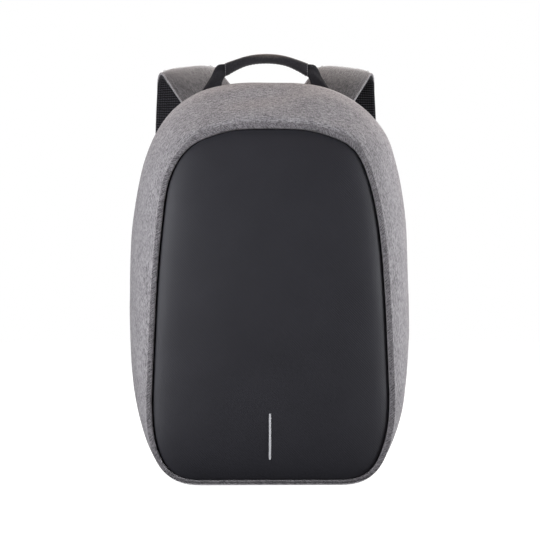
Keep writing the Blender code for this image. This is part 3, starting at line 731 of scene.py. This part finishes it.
def grip_cloth(name, dark, light, painted_highlight):
    """Black cloth round the handle's grip, with a painted highlight on top of its middle."""
    nodes = Nodes(name)
    height, colour = plain_weave(nodes, 0.0012, dark, light)
    place = nodes.parts(nodes.space(1.0))
    # Painted highlight: the top of the grip's middle is coloured paler where the warm top light would give
    # it a sheen.
    from_middle = nodes.maths("ABSOLUTE", nodes.sum(place[0], -HANDLE_SHIFT - 0.004))
    highlight_mask = nodes.times(nodes.spread(from_middle, 0.030, 0.006), nodes.spread(place[2], 0.4458, 0.4500))
    highlight_mask = nodes.times(highlight_mask, nodes.spread(height, 0.1, 0.7))
    colour = nodes.blend(highlight_mask, colour, painted_highlight)
    return nodes.finish(colour, height, 0.00035, 0.75, sheen=0.2, specular=0.2)


def spacer_mesh(nodes, solid, fuzz, relief, dark, light):
    """Knitted spacer mesh. solid is 1 on its threads and 0 in its holes."""
    level = nodes.times(solid, nodes.spread(fuzz, 0.2, 0.8, 0.75, 1.1))
    height = nodes.sum(solid, nodes.times(fuzz, 0.15))
    return nodes.finish(nodes.blend(level, dark, light), height, relief, 0.75, sheen=0.12, specular=0.25)


def strap_mesh(name, dark, light):
    """Rows of paler knots across the strap, with holes between them."""
    nodes = Nodes(name)
    place = nodes.parts(nodes.weave(0.0024, 0.0029))
    knots = nodes.times(nodes.wave(place[0]), 0.45)
    solid = nodes.spread(nodes.sum(nodes.wave(place[1]), knots), -0.1, 1.1)
    return spacer_mesh(nodes, solid, nodes.noise(nodes.weave(0.0006, 0.0006)), 0.0009, dark, light)


def pad_mesh(name, dark, light):
    """Staggered oval holes, laid out on the back pads' face."""
    nodes = Nodes(name)
    place = nodes.parts(nodes.space(0.0034, 1.0, 0.0058))
    cells = nodes.times(nodes.wave(place[0], pi / 2), nodes.wave(place[2], pi / 2))
    solid = nodes.spread(cells, 0.40, -0.05)
    return spacer_mesh(nodes, solid, nodes.noise(nodes.space(0.0007)), 0.0010, dark, light)


def webbing_cloth(name, dark, light):
    """Woven webbing: ribs across its width, each a row of slanted yarns."""
    nodes = Nodes(name)
    place = nodes.parts(nodes.space(0.0013))
    ribs = nodes.wave(place[0])
    yarns = nodes.wave(nodes.sum(place[2], nodes.times(ribs, 0.22)))
    fuzz = nodes.noise(nodes.space(0.0007))
    mixed = nodes.sum(nodes.times(ribs, 0.2), nodes.sum(nodes.times(yarns, 0.15), fuzz))
    colour = nodes.blend(nodes.spread(mixed, 0.1, 0.95), dark, light)
    return nodes.finish(colour, mixed, 0.0004, 0.6, sheen=0.06, specular=0.3)


def grainy(name, colour, dark, size, relief, roughness, specular, sheen=0.0, detail=2.0):
    """A fine grain of one colour, whose darkest specks have the share dark of it."""
    nodes = Nodes(name)
    grain = nodes.noise(nodes.space(size), detail)
    tone = nodes.blend(grain, tuple(dark * c for c in colour), colour)
    return nodes.finish(tone, grain, relief, roughness, sheen=sheen, specular=specular)


def moulded_plastic(name, colour):
    return grainy(name, colour, 0.7, 0.0006, 0.00006, 0.38, 0.5)


def thread_yarn(name, colour):
    return grainy(name, colour, 0.6, 0.0004, 0.0001, 0.6, 0.3, sheen=0.1, detail=1.0)


def black_metal(name, colour):
    nodes = Nodes(name)
    wear = nodes.noise(nodes.space(0.0015), detail=4.0)
    nodes.fill(nodes.shader, {"Metallic": 0.85})
    tone = nodes.blend(nodes.spread(wear, 0.45, 0.75), colour, tuple(3.0 * c for c in colour))
    roughness = nodes.spread(wear, 0.3, 0.7, 0.28, 0.42)
    return nodes.finish(tone, wear, 0.00003, roughness, specular=0.5)


def reflective_tape(name, colour):
    """Retroreflective tape: tiny glass beads in a silver ground, with a painted glow for the lamps' light
    that it sends back.
    """
    nodes = Nodes(name)
    beads = nodes.noise(nodes.space(0.0004))
    tone = nodes.blend(nodes.spread(beads, 0.3, 0.7), tuple(0.82 * c for c in colour), colour)
    # The emission is painted light: the tape glows in place of the lamps' light that its beads send back.
    nodes.fill(nodes.shader, {"Emission Color": (*colour, 1), "Emission Strength": 0.22})
    return nodes.finish(tone, beads, 0.00004, 0.45, specular=0.6)


def make_materials():
    pale, deep = (0.53, 0.507, 0.517), (0.15, 0.142, 0.149)
    # The lip's melange is darker than the shell's: partly a darker, denser fabric, partly painted shade for
    # the band that turns inwards and faces away from the lamps.
    lip_pale, lip_deep = (0.34, 0.322, 0.334), (0.085, 0.080, 0.086)
    # The straps' melange is the shell's cloth darkened: painted shade for the light that the straps' fronts
    # miss.
    strap_shaded_pale, strap_shaded_deep = (0.188, 0.174, 0.174), (0.044, 0.040, 0.041)
    return {
        "shell": melange_cloth("shell_melange", pale, deep),
        "lip": melange_cloth("lip_melange", lip_pale, lip_deep, radians(52), 1.15, 0.22),
        "strap": melange_cloth("strap_melange", strap_shaded_pale, strap_shaded_deep, pi / 2, fuzz=1.0),
        "panel": twill_cloth("panel_twill", (0.016, 0.0155, 0.020), (0.034, 0.033, 0.041)),
        "black": plain_cloth("black_plain_weave", (0.010, 0.010, 0.012), (0.030, 0.030, 0.034)),
        "mesh": strap_mesh("spacer_mesh", (0.0035, 0.003, 0.0045), (0.058, 0.053, 0.064)),
        # The grip's last colour is a painted highlight for the top of its middle, not a colour of its
        # cloth.
        "grip": grip_cloth("grip_cloth", (0.010, 0.009, 0.011), (0.034, 0.031, 0.036), (0.16, 0.135, 0.12)),
        "piping": plain_cloth("piping_cloth", (0.012, 0.012, 0.014), (0.04, 0.04, 0.045), 0.0009, 0.7, 0.2),
        "tape_cloth": plain_cloth("zip_tape_cloth", (0.008, 0.008, 0.010), (0.022, 0.022, 0.025), 0.0008),
        "pad_mesh": pad_mesh("pad_spacer_mesh", (0.004, 0.004, 0.005), (0.034, 0.034, 0.039)),
        "teeth": moulded_plastic("coil_plastic", (0.020, 0.020, 0.022)),
        "webbing": webbing_cloth("ribbed_webbing", (0.006, 0.0055, 0.0075), (0.024, 0.022, 0.028)),
        "plastic": moulded_plastic("moulded_plastic", (0.018, 0.018, 0.020)),
        "metal": black_metal("blackened_metal", (0.02, 0.02, 0.022)),
        "tape": reflective_tape("silver_tape", (0.62, 0.62, 0.64)),
        "thread": thread_yarn("black_thread", (0.035, 0.035, 0.04)),
        "grey_thread": thread_yarn("grey_thread", (0.30, 0.29, 0.30)),
    }


# The body

def dent_depth(point, depth_share):
    """How far the padding is pressed in at a point of the shell."""
    total = 0.0
    for dent in DENTS:
        slant = radians(dent.slant)
        x, z = point.x - dent.x, point.z - dent.z
        along = (x * cos(slant) + z * sin(slant)) / dent.length
        across = (z * cos(slant) - x * sin(slant)) / dent.height
        middle = (dent.front + dent.back) / 2
        deep = (depth_share - middle) / (dent.back - dent.front) * 2
        total += dent.depth * exp(-(along**2) - across**2 - deep**4)
    for fineness, depth, start in SWELLS:
        total += noise.noise(point * fineness + Vector(start)) * depth
    return total


def sway(point, share):
    """The soft body isn't quite even: how far a point leans, at a share of the shell's depth."""
    shift = 0.0
    for lean in LEANS:
        outwards = lean.side * point.x / (BODY_WIDTH / 2)
        if outwards > 0:
            fade = 1.0 if lean.back else max(0.0, 1 - share / 0.6)
            stretch = bump(point.z, lean.z, lean.reach)
            shift += lean.side * lean.shift * fade * outwards**1.5 * stretch
    corner = bump(abs(point.x), CORNER_MIDDLE, CORNER_WIDTH) * min(1.0, point.z / 0.3) ** 20
    return Vector((shift, 0.0, -CORNER_DROP * corner * max(0.0, 1 - share / 0.3)))


def swayed(ring, share=0.0):
    return [point + sway(point, share) for point in ring]


def crease_strength(height):
    """The seam behind the lip lies deep over the top and runs out down the sides."""
    return max(0.12, min(1.0, (height - CREASE_START) / CREASE_FADE))


def build_shell(material):
    steps = 64
    sections = sampled(SECTIONS, steps)
    rings = [section_ring(section) for section in sections]
    normals = outward_normals(rings)
    outer = []
    for k, (ring, facing) in enumerate(zip(rings, normals)):
        share = k / steps
        front, back = min(1.0, share / DENT_FADE_FRONT), min(1.0, (1 - share) / DENT_FADE_BACK)
        crease = CREASE_DEPTH * bump(share, 0.0, CREASE_REACH)
        flattening = SIDE_FLATTENING * bump(share, SIDE_REACH, SIDE_REACH)
        moved = []
        for point, normal in zip(ring, facing):
            from_base = min(1.0, point.z / FIRM_BASE)
            creased = crease_strength(point.z)
            press = dent_depth(point, sections[k].depth) * front * back
            press += crease * creased + EDGE_ROLL * (1 - back) ** 2
            press += flattening * (1 - creased)
            moved.append(point - normal * press * from_base + sway(point, sections[k].depth))
        outer.append(moved)
    rim, back_edge = outer[0], outer[-1]
    tucked = [inset_ring(rim, inset, back) for inset, back in RIM_TUCKS]
    turned = [
        flattened(inset_ring(back_edge, EDGE_TURN), SHELL_BACK_Y),
        flattened(inset_ring(back_edge, SHELL_WALL), SHELL_BACK_Y - 0.001),
    ]
    inside = [
        [p - n * SHELL_WALL for p, n in zip(outer[k], normals[k])]
        for k in (3 * steps // 4, steps // 2, steps // 4, steps // 8)
    ]
    shell = surface("shell", [*reversed(tucked), *outer, *turned, *inside], material, hoop=True)
    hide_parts("body_shell")


def lowered(ring, share):
    """The lip is narrower along the base: near it, a ring lies lower by a share of HEM_DROP."""
    moved = []
    for p in ring:
        drop = HEM_DROP * share * bump(p.z, 0.0, HEM_HEIGHT)
        moved.append(Vector((p.x, p.y, max(p.z - drop, 0.0))))
    return moved


def build_lip(material):
    rim = swayed(section_ring(SECTIONS[0]))
    rows = []
    for point in sampled(LIP_PROFILE, 40):
        row = []
        for p in lowered(inset_ring(rim, point.inset * LIP_WIDTH, point.behind * LIP_DROP), point.inset):
            under = bump(p.z, 0.0, HEM_TUCK_HEIGHT) * (1 - point.inset)
            row.append(p + backwards(HEM_TUCK * under))
        rows.append(row)
    for inset in (0.95, 0.30):
        rows.append(lowered(inset_ring(rim, inset * LIP_WIDTH, LIP_ROOT), inset))
    lip = surface("rolled_lip", rows, material, hoop=True)


def panel_rise(scale):
    """How far the panel stands forward of its edge, at a share of the way out from its middle."""
    edge = (PANEL_EDGE + 0.3 * PANEL_CROWN) * (1 - min(1.0, scale) ** 10) ** 0.6
    return edge + 0.7 * PANEL_CROWN * (1 - min(1.0, scale) ** 2)


def panel_edge_ring():
    return lowered(inset_ring(swayed(section_ring(SECTIONS[0])), LIP_WIDTH + CLEARANCE, LIP_DROP), 1.0)


def panel_point(edge_point, middle, scale, rise):
    x, z = edge_point.x * scale, middle + (edge_point.z - middle) * scale
    return Vector((x, FRONT_Y + front_curve(z) + LIP_DROP - rise, z))


def build_panel(material):
    edge = panel_edge_ring()
    middle = 0.5 * (edge[0].z + max(p.z for p in edge))
    scales = [1.0 - 0.12 * (i / 20) ** 1.8 for i in range(21)]
    scales += [0.88 * (1 - i / 26) for i in range(1, 26)]
    rows = [[panel_point(p, middle, scale, rise) for p in edge] for scale, rise in PANEL_TUCKS]
    for scale in scales:
        row = []
        for p in edge:
            point = panel_point(p, middle, scale, panel_rise(scale))
            soft = noise.noise(point * 14.0 + Vector((9.0, 2.0, 4.0))) * SOFT_RELIEF
            point.y += soft * min(1.0, (1 - scale) / 0.1)
            row.append(point)
        rows.append(row)
    panel = surface("smooth_panel", rows, material, capped=True)
    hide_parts("front_panel")


def build_reflector(material):
    """The light bar, laid on the panel's middle line."""
    low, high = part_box("reflective_strip")
    edge = panel_edge_ring()
    panel_bottom, panel_top = edge[0].z, max(p.z for p in edge)
    panel_half = (panel_top - panel_bottom) / 2
    half = BAR_NARROWING * (high[0] - low[0]) / 2
    middle = (high[0] + low[0]) / 2 + BAR_SHIFT
    bottom, top = low[2] + BAR_TRIM, high[2]
    steps = 40
    rows = []
    for i in range(steps + 1):
        z = bottom + (top - bottom) * i / steps
        from_end = min(z - bottom, top - z)
        width = half * min(1.0, 0.45 + from_end / BAR_END)
        rise = panel_rise((panel_bottom + panel_half - z) / panel_half)
        back = FRONT_Y + front_curve(z) + LIP_DROP - rise - BAR_LIFT
        edge = [(width, 0.0), (width, 0.6 * BAR_THICKNESS), (0.8 * width, BAR_THICKNESS)]
        profile = [(-x, y) for x, y in edge] + edge[::-1]
        rows.append([Vector((middle + x, back - y, z)) for x, y in profile])
    strip = surface("light_strip", rows, material, capped=True)
    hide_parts("reflective_strip")


# The straps

def strap_line(side, steps):
    """Along a strap: its centre, the directions across and upwards, and half its width."""
    places = []
    for i, station in enumerate(sampled(STRAP_STATIONS, steps)):
        lean = STRAP_LEAN * sin(pi * i / steps) if side > 0 else 0.0
        x = side * station.across * BODY_WIDTH / 2 - lean
        centre = Vector((x, BACK_FACE_Y + station.behind * STRAP_LOOP, station.height * BODY_HEIGHT))
        tilt = radians(station.tilt)
        across = Vector((cos(tilt), 0.0, -side * sin(tilt)))
        places.append((centre, across, station.width * STRAP_WIDTH / 2))
    line = []
    for i, (centre, across, half) in enumerate(places):
        before, after = places[max(i - 1, 0)][0], places[min(i + 1, steps)][0]
        line.append((centre, across, across.cross(after - before).normalized(), half))
    return line


def band_profile(half, low, high, edge, dome):
    """A flat band's outline as across and over: rounded edges, and a top that domes by dome."""
    flat, middle, tall = half - edge, (low + high) / 2, (high - low) / 2
    points = [((i / 4 - 1) * flat, low) for i in range(9)]
    for i in range(1, 6):
        angle = pi * i / 6 - pi / 2
        points.append((flat + edge * cos(angle), middle + tall * sin(angle)))
    for i in range(17):
        x = 1 - i / 8
        points.append((x * flat, high + dome * (1 - x**4)))
    for i in range(1, 6):
        angle = pi * i / 6 + pi / 2
        points.append((edge * cos(angle) - flat, middle + tall * sin(angle)))
    return points


def strap_point(place, across, over):
    """A point of a strap, whose edges bend down over the shoulder."""
    centre, along_width, upwards, half = place
    cup = STRAP_CUP * min(1.0, abs(across) / half) ** 4
    return centre + along_width * across + upwards * (over - cup)


def strap_edge(line, edge, inset, over):
    """A line along one edge of a strap, -1 or 1, an inset in from it."""
    return [strap_point(place, edge * (place[3] - inset), over) for place in line]


def band(name, line, low, high, edge, dome, material):
    rows = []
    for place in line:
        profile = band_profile(place[3], low, high, edge, dome)
        rows.append([strap_point(place, a, o) for a, o in profile])
    return surface(name, rows, material, capped=True)


def build_strap(side, name, materials):
    line = strap_line(side, 130)
    top = (STRAP_COVER_THICKNESS + STRAP_MESH_THICKNESS + CLEARANCE) / 2
    split = top - STRAP_COVER_THICKNESS
    low, high = split + STRAP_SINK, top - STRAP_SHOULDER
    cover = band(f"strap_face_{name}", line, low, high, STRAP_FACE_EDGE, STRAP_DOME, materials["strap"])
    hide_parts(f"strap_cover_{name}")
    low, high = STRAP_LINING_SINK - top, split - CLEARANCE
    lining = band(f"strap_lining_{name}", line, low, high, STRAP_LINING_EDGE, 0.0, materials["mesh"])
    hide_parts(f"strap_mesh_{name}")
    for edge, label in ((-1, "a"), (1, "b")):
        path = strap_edge(line, edge, BINDING_INSET, split + BINDING_RISE)
        binding = tube(f"strap_binding_{name}_{label}", path, BINDING_RADIUS, materials["shell"])
    rows = [strap_edge(line[6:-2], edge, STRAP_STITCH_INSET, top - THREAD_LIFT) for edge in (-1, 1)]
    stitches(f"strap_stitches_{name}", rows, materials["grey_thread"])


# The handle

def handle_point(across, rise):
    x = HANDLE_SHIFT + across * HANDLE_SPAN / 2
    return Vector((x, SHELL_BACK_Y - HANDLE_SETBACK, BODY_HEIGHT + rise * HANDLE_RISE))


def squared(share):
    return copysign(abs(share) ** 0.75, share)


def build_grip(materials):
    half = sampled(GRIP_STATIONS, 30)
    whole = half + [station._replace(across=-station.across) for station in reversed(half[:-1])]
    rows = []
    for k, station in enumerate(whole):
        from_end = min(k, len(whole) - 1 - k)
        pinch = 1.0 - GRIP_PINCH * bump(from_end, 3, 1.1) - (0.0 if from_end else GRIP_END_PINCH)
        row = []
        for a, b in circle(GRIP_SIDES, 0.5):
            wide = squared(a) * station.depth * GRIP_DEPTH / 2 * pinch
            tall = squared(b) * station.height * GRIP_HEIGHT / 2 * pinch
            row.append(handle_point(station.across, station.rise) + Vector((0.0, wide, tall)))
        rows.append(row)
    grip = surface("padded_grip", rows, materials["grip"], capped=True)
    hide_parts("handle_grip")
    for ring, label in ((rows[2], "right"), (rows[-3], "left")):
        seam = [p - backwards(THREAD_LIFT) for p in ring[GRIP_SIDES // 4 : 3 * GRIP_SIDES // 4]]
        thread = materials["grey_thread"]
        stitches(f"grip_seam_{label}", [seam], thread, 0.0016, 0.0004, 0.00028)
    under = []
    for station in whole[4:-4]:
        drop = Vector((0.0, 0.0, station.height * GRIP_HEIGHT / 2 + THREAD_LIFT / 2))
        under.append(handle_point(station.across, station.rise) - drop)
    stitches("grip_stitches", [under], materials["thread"], 0.0024, 0.0012, 0.00025)


def build_leg(side, name, materials):
    steps = 42
    thick = HANDLE_WEBBING_THICKNESS / 2
    rows = []
    stitch_rows = [[], []]
    for i, station in enumerate(sampled(LEG_STATIONS, steps)):
        share = i / steps
        inner = handle_point(side * station.inner, station.inner_rise)
        outer = handle_point(side * station.outer, station.outer_rise)
        centre, across = (inner + outer) / 2, (outer - inner).normalized()
        half = (outer - inner).length / 2
        row = []
        fold_middle = 0.05 - 1.6 * (share - 0.62)
        for a, o in band_profile(half, -thick, thick, LEG_EDGE, 0.0):
            fold = LEG_FOLD * bump(a / half, fold_middle, LEG_FOLD_WIDTH)
            row.append(centre + across * a + backwards(o - fold))
        rows.append(row)
        if 0.45 < share < 0.95:
            for edge, line in zip((-1, 1), stitch_rows):
                place = centre + across * edge * (half - LEG_STITCH_INSET)
                line.append(place - backwards(thick + THREAD_LIFT))
    leg = surface(f"handle_band_{name}", rows, materials["webbing"], capped=True)
    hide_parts(f"handle_leg_{name}")
    stitches(f"leg_stitches_{name}", stitch_rows, materials["thread"], 0.0022, 0.0012, 0.00022)


# The back

def back_edge_ring(inset, y):
    return flattened(inset_ring(swayed(section_ring(SECTIONS[-1]), 1.0), inset), y)


def build_zip(materials):
    """The closed zip round the back edge: its tape, and the coil's teeth along the stretch that opens."""
    back = ZIP_FRONT_Y + ZIP_TAPE_WIDTH
    deep = ZIP_TAPE_INSET + ZIP_TAPE_THICKNESS
    corners = (deep, back), (deep, ZIP_FRONT_Y), (ZIP_TAPE_INSET, ZIP_FRONT_Y), (ZIP_TAPE_INSET, back)
    rows = [back_edge_ring(inset, y) for inset, y in corners]
    tape = surface("zip_tape", rows, materials["tape_cloth"], hoop=True)
    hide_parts("zip_track")
    middle = ZIP_FRONT_Y + ZIP_TAPE_WIDTH / 2
    ring = back_edge_ring(ZIP_TAPE_INSET - TOOTH_LIFT, middle)
    lifted = [p for p in ring[BASE_STEPS:] + ring[:BASE_STEPS] if p.z > ZIP_START_HEIGHT]
    spans = []
    half = backwards(TOOTH_LENGTH / 2)
    for k, point in enumerate(resampled(lifted, TOOTH_PITCH)):
        centre = point + backwards(TOOTH_STAGGER if k % 2 else -TOOTH_STAGGER)
        spans.append((centre - half, centre + half))
    teeth = spindles("zip_teeth", spans, TOOTH_RADIUS, materials["teeth"])


def build_back_panel(materials):
    """The back panel with its piping: a flat sewn plate whose face gives a little."""
    folds = BACK_PLATE_FOLD, BACK_PLATE_EDGE
    rows = [back_edge_ring(BACK_PLATE_INSET + inset, PLATE_FRONT_Y) for inset in folds]
    for i in range(11):
        angle = pi / 2 * i / 10
        inset = BACK_PLATE_INSET + BACK_PLATE_ROUNDING * (1 - cos(angle))
        y = PLATE_FRONT_Y + BACK_PLATE_THICKNESS * (0.25 + 0.72 * sin(angle))
        rows.append(back_edge_ring(inset, y))
    edge = rows[-1]
    middle = Vector((0.0, edge[0].y, BODY_HEIGHT / 2))
    for i in range(1, 28):
        row = []
        for point in edge:
            place = middle.lerp(point, 1 - i / 28)
            place.y -= SOFT_RELIEF * (0.5 + noise.noise(place * 30.0))
            row.append(place)
        rows.append(row)
    plate = surface("back_cloth", rows, materials["black"], capped=True)
    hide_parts("back_panel")
    seam = back_edge_ring(PIPING_INSET, PLATE_FRONT_Y + PIPING_RISE)
    piping = tube("back_piping", seam, PIPING_RADIUS, materials["piping"], closed=True)


def pad_outline():
    """The right back pad's outline as x and z: it follows the body's side and keeps off the middle."""
    back = section_ring(SECTIONS[-1])
    half = inset_ring(back, PAD_MARGIN)[: len(back) // 2 + 1]
    low, high = PAD_BOTTOM, yoke_bottom() - PAD_GAP_TO_YOKE
    inner, corner = PAD_CHANNEL / 2, PAD_CORNER
    side = [(p.x, p.z) for p in half if low + corner < p.z < high - corner][::4]
    widest_low, widest_high = side[0][0], side[-1][0]
    return [
        (inner + corner, low),
        ((inner + widest_low) / 2, low - 0.14 * corner),
        (widest_low - corner, low),
        (widest_low - 0.25 * corner, low + 0.25 * corner),
        *side,
        (widest_high - 0.35 * corner, high - 0.3 * corner),
        (widest_high - 1.4 * corner, high),
        ((inner + widest_high) / 2, high + 0.07 * corner),
        (inner + corner, high),
        (inner + 0.25 * corner, high - 0.25 * corner),
        (inner, high - corner),
        (inner + 0.07 * corner, (low + high) / 2),
        (inner, low + corner),
        (inner + 0.25 * corner, low + 0.25 * corner),
    ]


def yoke_top():
    return STRAP_STATIONS[0].height * BODY_HEIGHT - 2 * CLEARANCE


def yoke_bottom():
    return yoke_top() - YOKE_HEIGHT


def rounded_loop(points, steps):
    """A closed smooth curve through points given as x and z."""
    loop = [Corner(*p) for p in points]
    around = [*loop[-2:], *loop, *loop[:2]]
    spans = len(around) - 1
    return [blended(around, (2 + len(loop) * i / steps) / spans) for i in range(steps)]


def build_back_pad(side, name, materials):
    outline = rounded_loop([(side * x, z) for x, z in pad_outline()], 120)
    middle_x = sum(p.x for p in outline) / len(outline)
    middle_z = sum(p.z for p in outline) / len(outline)
    face = BACK_FACE_Y + CLEARANCE
    rows = []
    for scale, raised in ((0.5, 0.0), (0.975, 0.0), (0.985, 0.25), (0.97, 0.5), (0.93, 0.62), (0.5, 0.66)):
        row = []
        for p in outline:
            x = middle_x + (p.x - middle_x) * scale
            z = middle_z + (p.z - middle_z) * (1 - (1 - scale) * 0.4)
            row.append(Vector((x, face + raised * PAD_THICKNESS, z)))
        rows.append(row)
    pad = surface(f"mesh_pad_{name}", rows, materials["pad_mesh"], capped=True)
    swollen(pad, lambda co: co.y < face + PAD_SEAM, PAD_PRESSURE, PAD_SWELLING)
    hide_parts(f"back_pad_{name}")
    border = [Vector((p.x, face + PAD_PIPING_RISE, p.z)) for p in outline]
    binding = tube(f"pad_binding_{name}", border, PAD_PIPING_RADIUS, materials["piping"], closed=True)


def build_yoke(materials):
    """The padded band across the top of the back panel, out of whose upper seam the straps come."""
    first = STRAP_STATIONS[0]
    reach = first.across * BODY_WIDTH / 2 + first.width * STRAP_WIDTH / 2 + YOKE_BORDER
    low, high = yoke_bottom(), yoke_top()
    corner = 0.25 * YOKE_HEIGHT
    right = [
        (reach / 2, low - 0.5 * YOKE_SAG),
        (reach - 3 * corner, low),
        (reach - corner, low + 0.5 * corner),
        (reach, low + 1.6 * corner),
        (reach, (low + high) / 2 + corner),
        (reach, high - 0.1 * corner),
        (reach - 0.2 * corner, high),
        (reach / 2, high),
    ]
    outline = [(0.0, low - YOKE_SAG), *right, (0.0, high), *[(-x, z) for x, z in reversed(right)]]
    loop = rounded_loop(outline, 160)
    middle = (low + high) / 2
    face = BACK_FACE_Y + CLEARANCE

    def ring(y, wide, tall):
        return [Vector((p.x * wide, y, middle + (p.z - middle) * tall)) for p in loop]

    rows = [ring(face, 0.6, 0.3)]
    for i in range(13):
        angle = pi / 2 * i / 12
        inset = YOKE_BORDER * 1.4 * (1 - cos(angle))
        y = face + (YOKE_THICKNESS - CLEARANCE) * (0.25 + 0.75 * sin(angle) ** 0.8 if i else 0.0)
        rows.append(ring(y, 1 - inset / reach, 1 - 2 * inset / YOKE_HEIGHT))
    rows.append(ring(face + YOKE_THICKNESS, 0.9, 0.5))
    rows.append(ring(face + YOKE_THICKNESS, 0.8, 0.2))
    yoke = surface("padded_yoke", rows, materials["black"], capped=True)
    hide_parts("strap_yoke")
    seam = ring(face + 0.985 * YOKE_THICKNESS, 0.955, 0.74)
    stitches("yoke_stitches", [[*seam, seam[0]]], materials["thread"])


def build_anchor_stitches(side, name, materials):
    """A stitched box with a cross where the webbing is sewn to its anchor."""
    x = side * STRAP_STATIONS[-1].across * BODY_WIDTH / 2
    y = BACK_FACE_Y + CLEARANCE + ANCHOR_THICKNESS + THREAD_LIFT / 2
    half = 0.36 * WEBBING_WIDTH
    low, high = ANCHOR_BOTTOM + ANCHOR_SEWN_FROM, ANCHOR_TOP - ANCHOR_SEWN_TO
    corners = [Vector((x + a * half, y, z)) for a, z in ((-1, low), (1, low), (1, high), (-1, high))]
    paths = [[*corners, corners[0]], [corners[0], corners[2]], [corners[1], corners[3]]]
    stitches(f"anchor_stitches_{name}", paths, materials["thread"], 0.0022, 0.0010, 0.00028)


# The light, the floor and the camera

def area_light(name, place, target, size, power, colour):
    data = bpy.data.lights.new(name, "AREA")
    data.shape = "RECTANGLE"
    data.size, data.size_y = size
    data.energy = power
    data.color = colour
    light = placed(name, data)
    light.location = place
    light.rotation_euler = (Vector(target) - Vector(place)).to_track_quat("-Z", "Y").to_euler()
    light.visible_camera = False


def build_lights():
    area_light("left_softbox", (-0.86, -0.64, 0.44), (0, 0, 0.24), (0.5, 0.9), 11.6, (0.94, 0.955, 1.0))
    area_light("right_softbox", (1.25, -0.24, 0.36), (0, 0, 0.20), (0.6, 0.9), 20.0, (0.95, 0.965, 1.0))
    area_light("top_softbox", (0.1, 0.50, 1.45), (0, 0, 0.35), (1.0, 0.8), 9.0, (1.0, 0.80, 0.68))
    area_light("front_fill", (-0.6, -2.3, 0.6), (0, 0, 0.25), (1.2, 0.9), 1.0, (1.0, 1.0, 1.0))
    area_light("back_fill", (0.15, 1.7, 1.4), (0, 0, 0.30), (1.6, 1.2), 38.0, (1.0, 0.96, 0.93))


def build_floor():
    """A grey floor that glows white for the camera alone."""
    nodes = Nodes("pale_floor")
    grey = (0.18, 0.18, 0.18, 1)
    nodes.fill(nodes.shader, {"Base Color": grey, "Roughness": 0.9, "Specular IOR Level": 0.0})
    seen = nodes.add("ShaderNodeLightPath", {})
    glow = nodes.add("ShaderNodeEmission", {"Color": (1, 1, 1, 1), "Strength": seen})
    lit = nodes.add("ShaderNodeAddShader", {0: nodes.shader.outputs[0], 1: glow})
    nodes.fill(nodes.tree.nodes["Material Output"], {"Surface": lit})
    shape = bmesh.new()
    bmesh.ops.create_circle(shape, cap_ends=True, segments=64, radius=FLOOR_RADIUS)
    floor = placed("floor", new_mesh("floor", shape, nodes.owner))
    floor.location.z = -FLOOR_DROP


def build_world():
    """A dim grey room that looks white to the camera."""
    nodes = Nodes("studio", bpy.data.worlds, "Background")
    nodes.fill(nodes.shader, {"Color": (0.045, 0.045, 0.047, 1)})
    white = nodes.add("ShaderNodeBackground", {"Color": (1, 1, 1, 1)})
    seen = nodes.add("ShaderNodeLightPath", {})
    mixed = nodes.add("ShaderNodeMixShader", {0: seen, 1: nodes.shader.outputs[0], 2: white})
    nodes.fill(nodes.tree.nodes["World Output"], {"Surface": mixed})
    bpy.context.scene.world = nodes.owner


def build_camera():
    data = bpy.data.cameras.new("camera")
    data.lens = LENS_MM
    data.sensor_width = SENSOR_MM
    camera = placed("camera", data)
    turn = radians(CAMERA_TURN)
    aim = Vector((CAMERA_SHIFT, FRONT_Y, CAMERA_HEIGHT))
    camera.location = aim + Vector((sin(turn), -cos(turn), 0.0)) * CAMERA_DISTANCE
    camera.rotation_euler = (pi / 2, 0.0, turn)
    bpy.context.scene.camera = camera
    bpy.context.scene.view_settings.view_transform = "Standard"


def dress_kept_nodes(frame, materials):
    """Better materials for the solids whose shape is right as it is. They come in pairs."""
    looks = {
        "zip_slider": "metal",
        "zip_pull": "webbing",
        "strap_anchor": "black",
        "strap_tab": "webbing",
        "adjuster_webbing": "webbing",
        "ladder_lock": "plastic",
    }
    for node, solid in frame["nodes"].items():
        kind = node.rpartition("_")[0]
        if kind in looks:
            for slot in solid.material_slots:
                slot.material = materials[looks[kind]]


def main():
    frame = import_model()
    build_camera()
    build_lights()
    build_floor()
    build_world()
    materials = make_materials()
    build_shell(materials["shell"])
    build_lip(materials["lip"])
    build_panel(materials["panel"])
    build_reflector(materials["tape"])
    for side, name in ((1, "right"), (-1, "left")):
        build_strap(side, name, materials)
        build_leg(side, name, materials)
        build_back_pad(side, name, materials)
        build_anchor_stitches(side, name, materials)
    build_grip(materials)
    build_zip(materials)
    build_back_panel(materials)
    build_yoke(materials)
    dress_kept_nodes(frame, materials)


main()
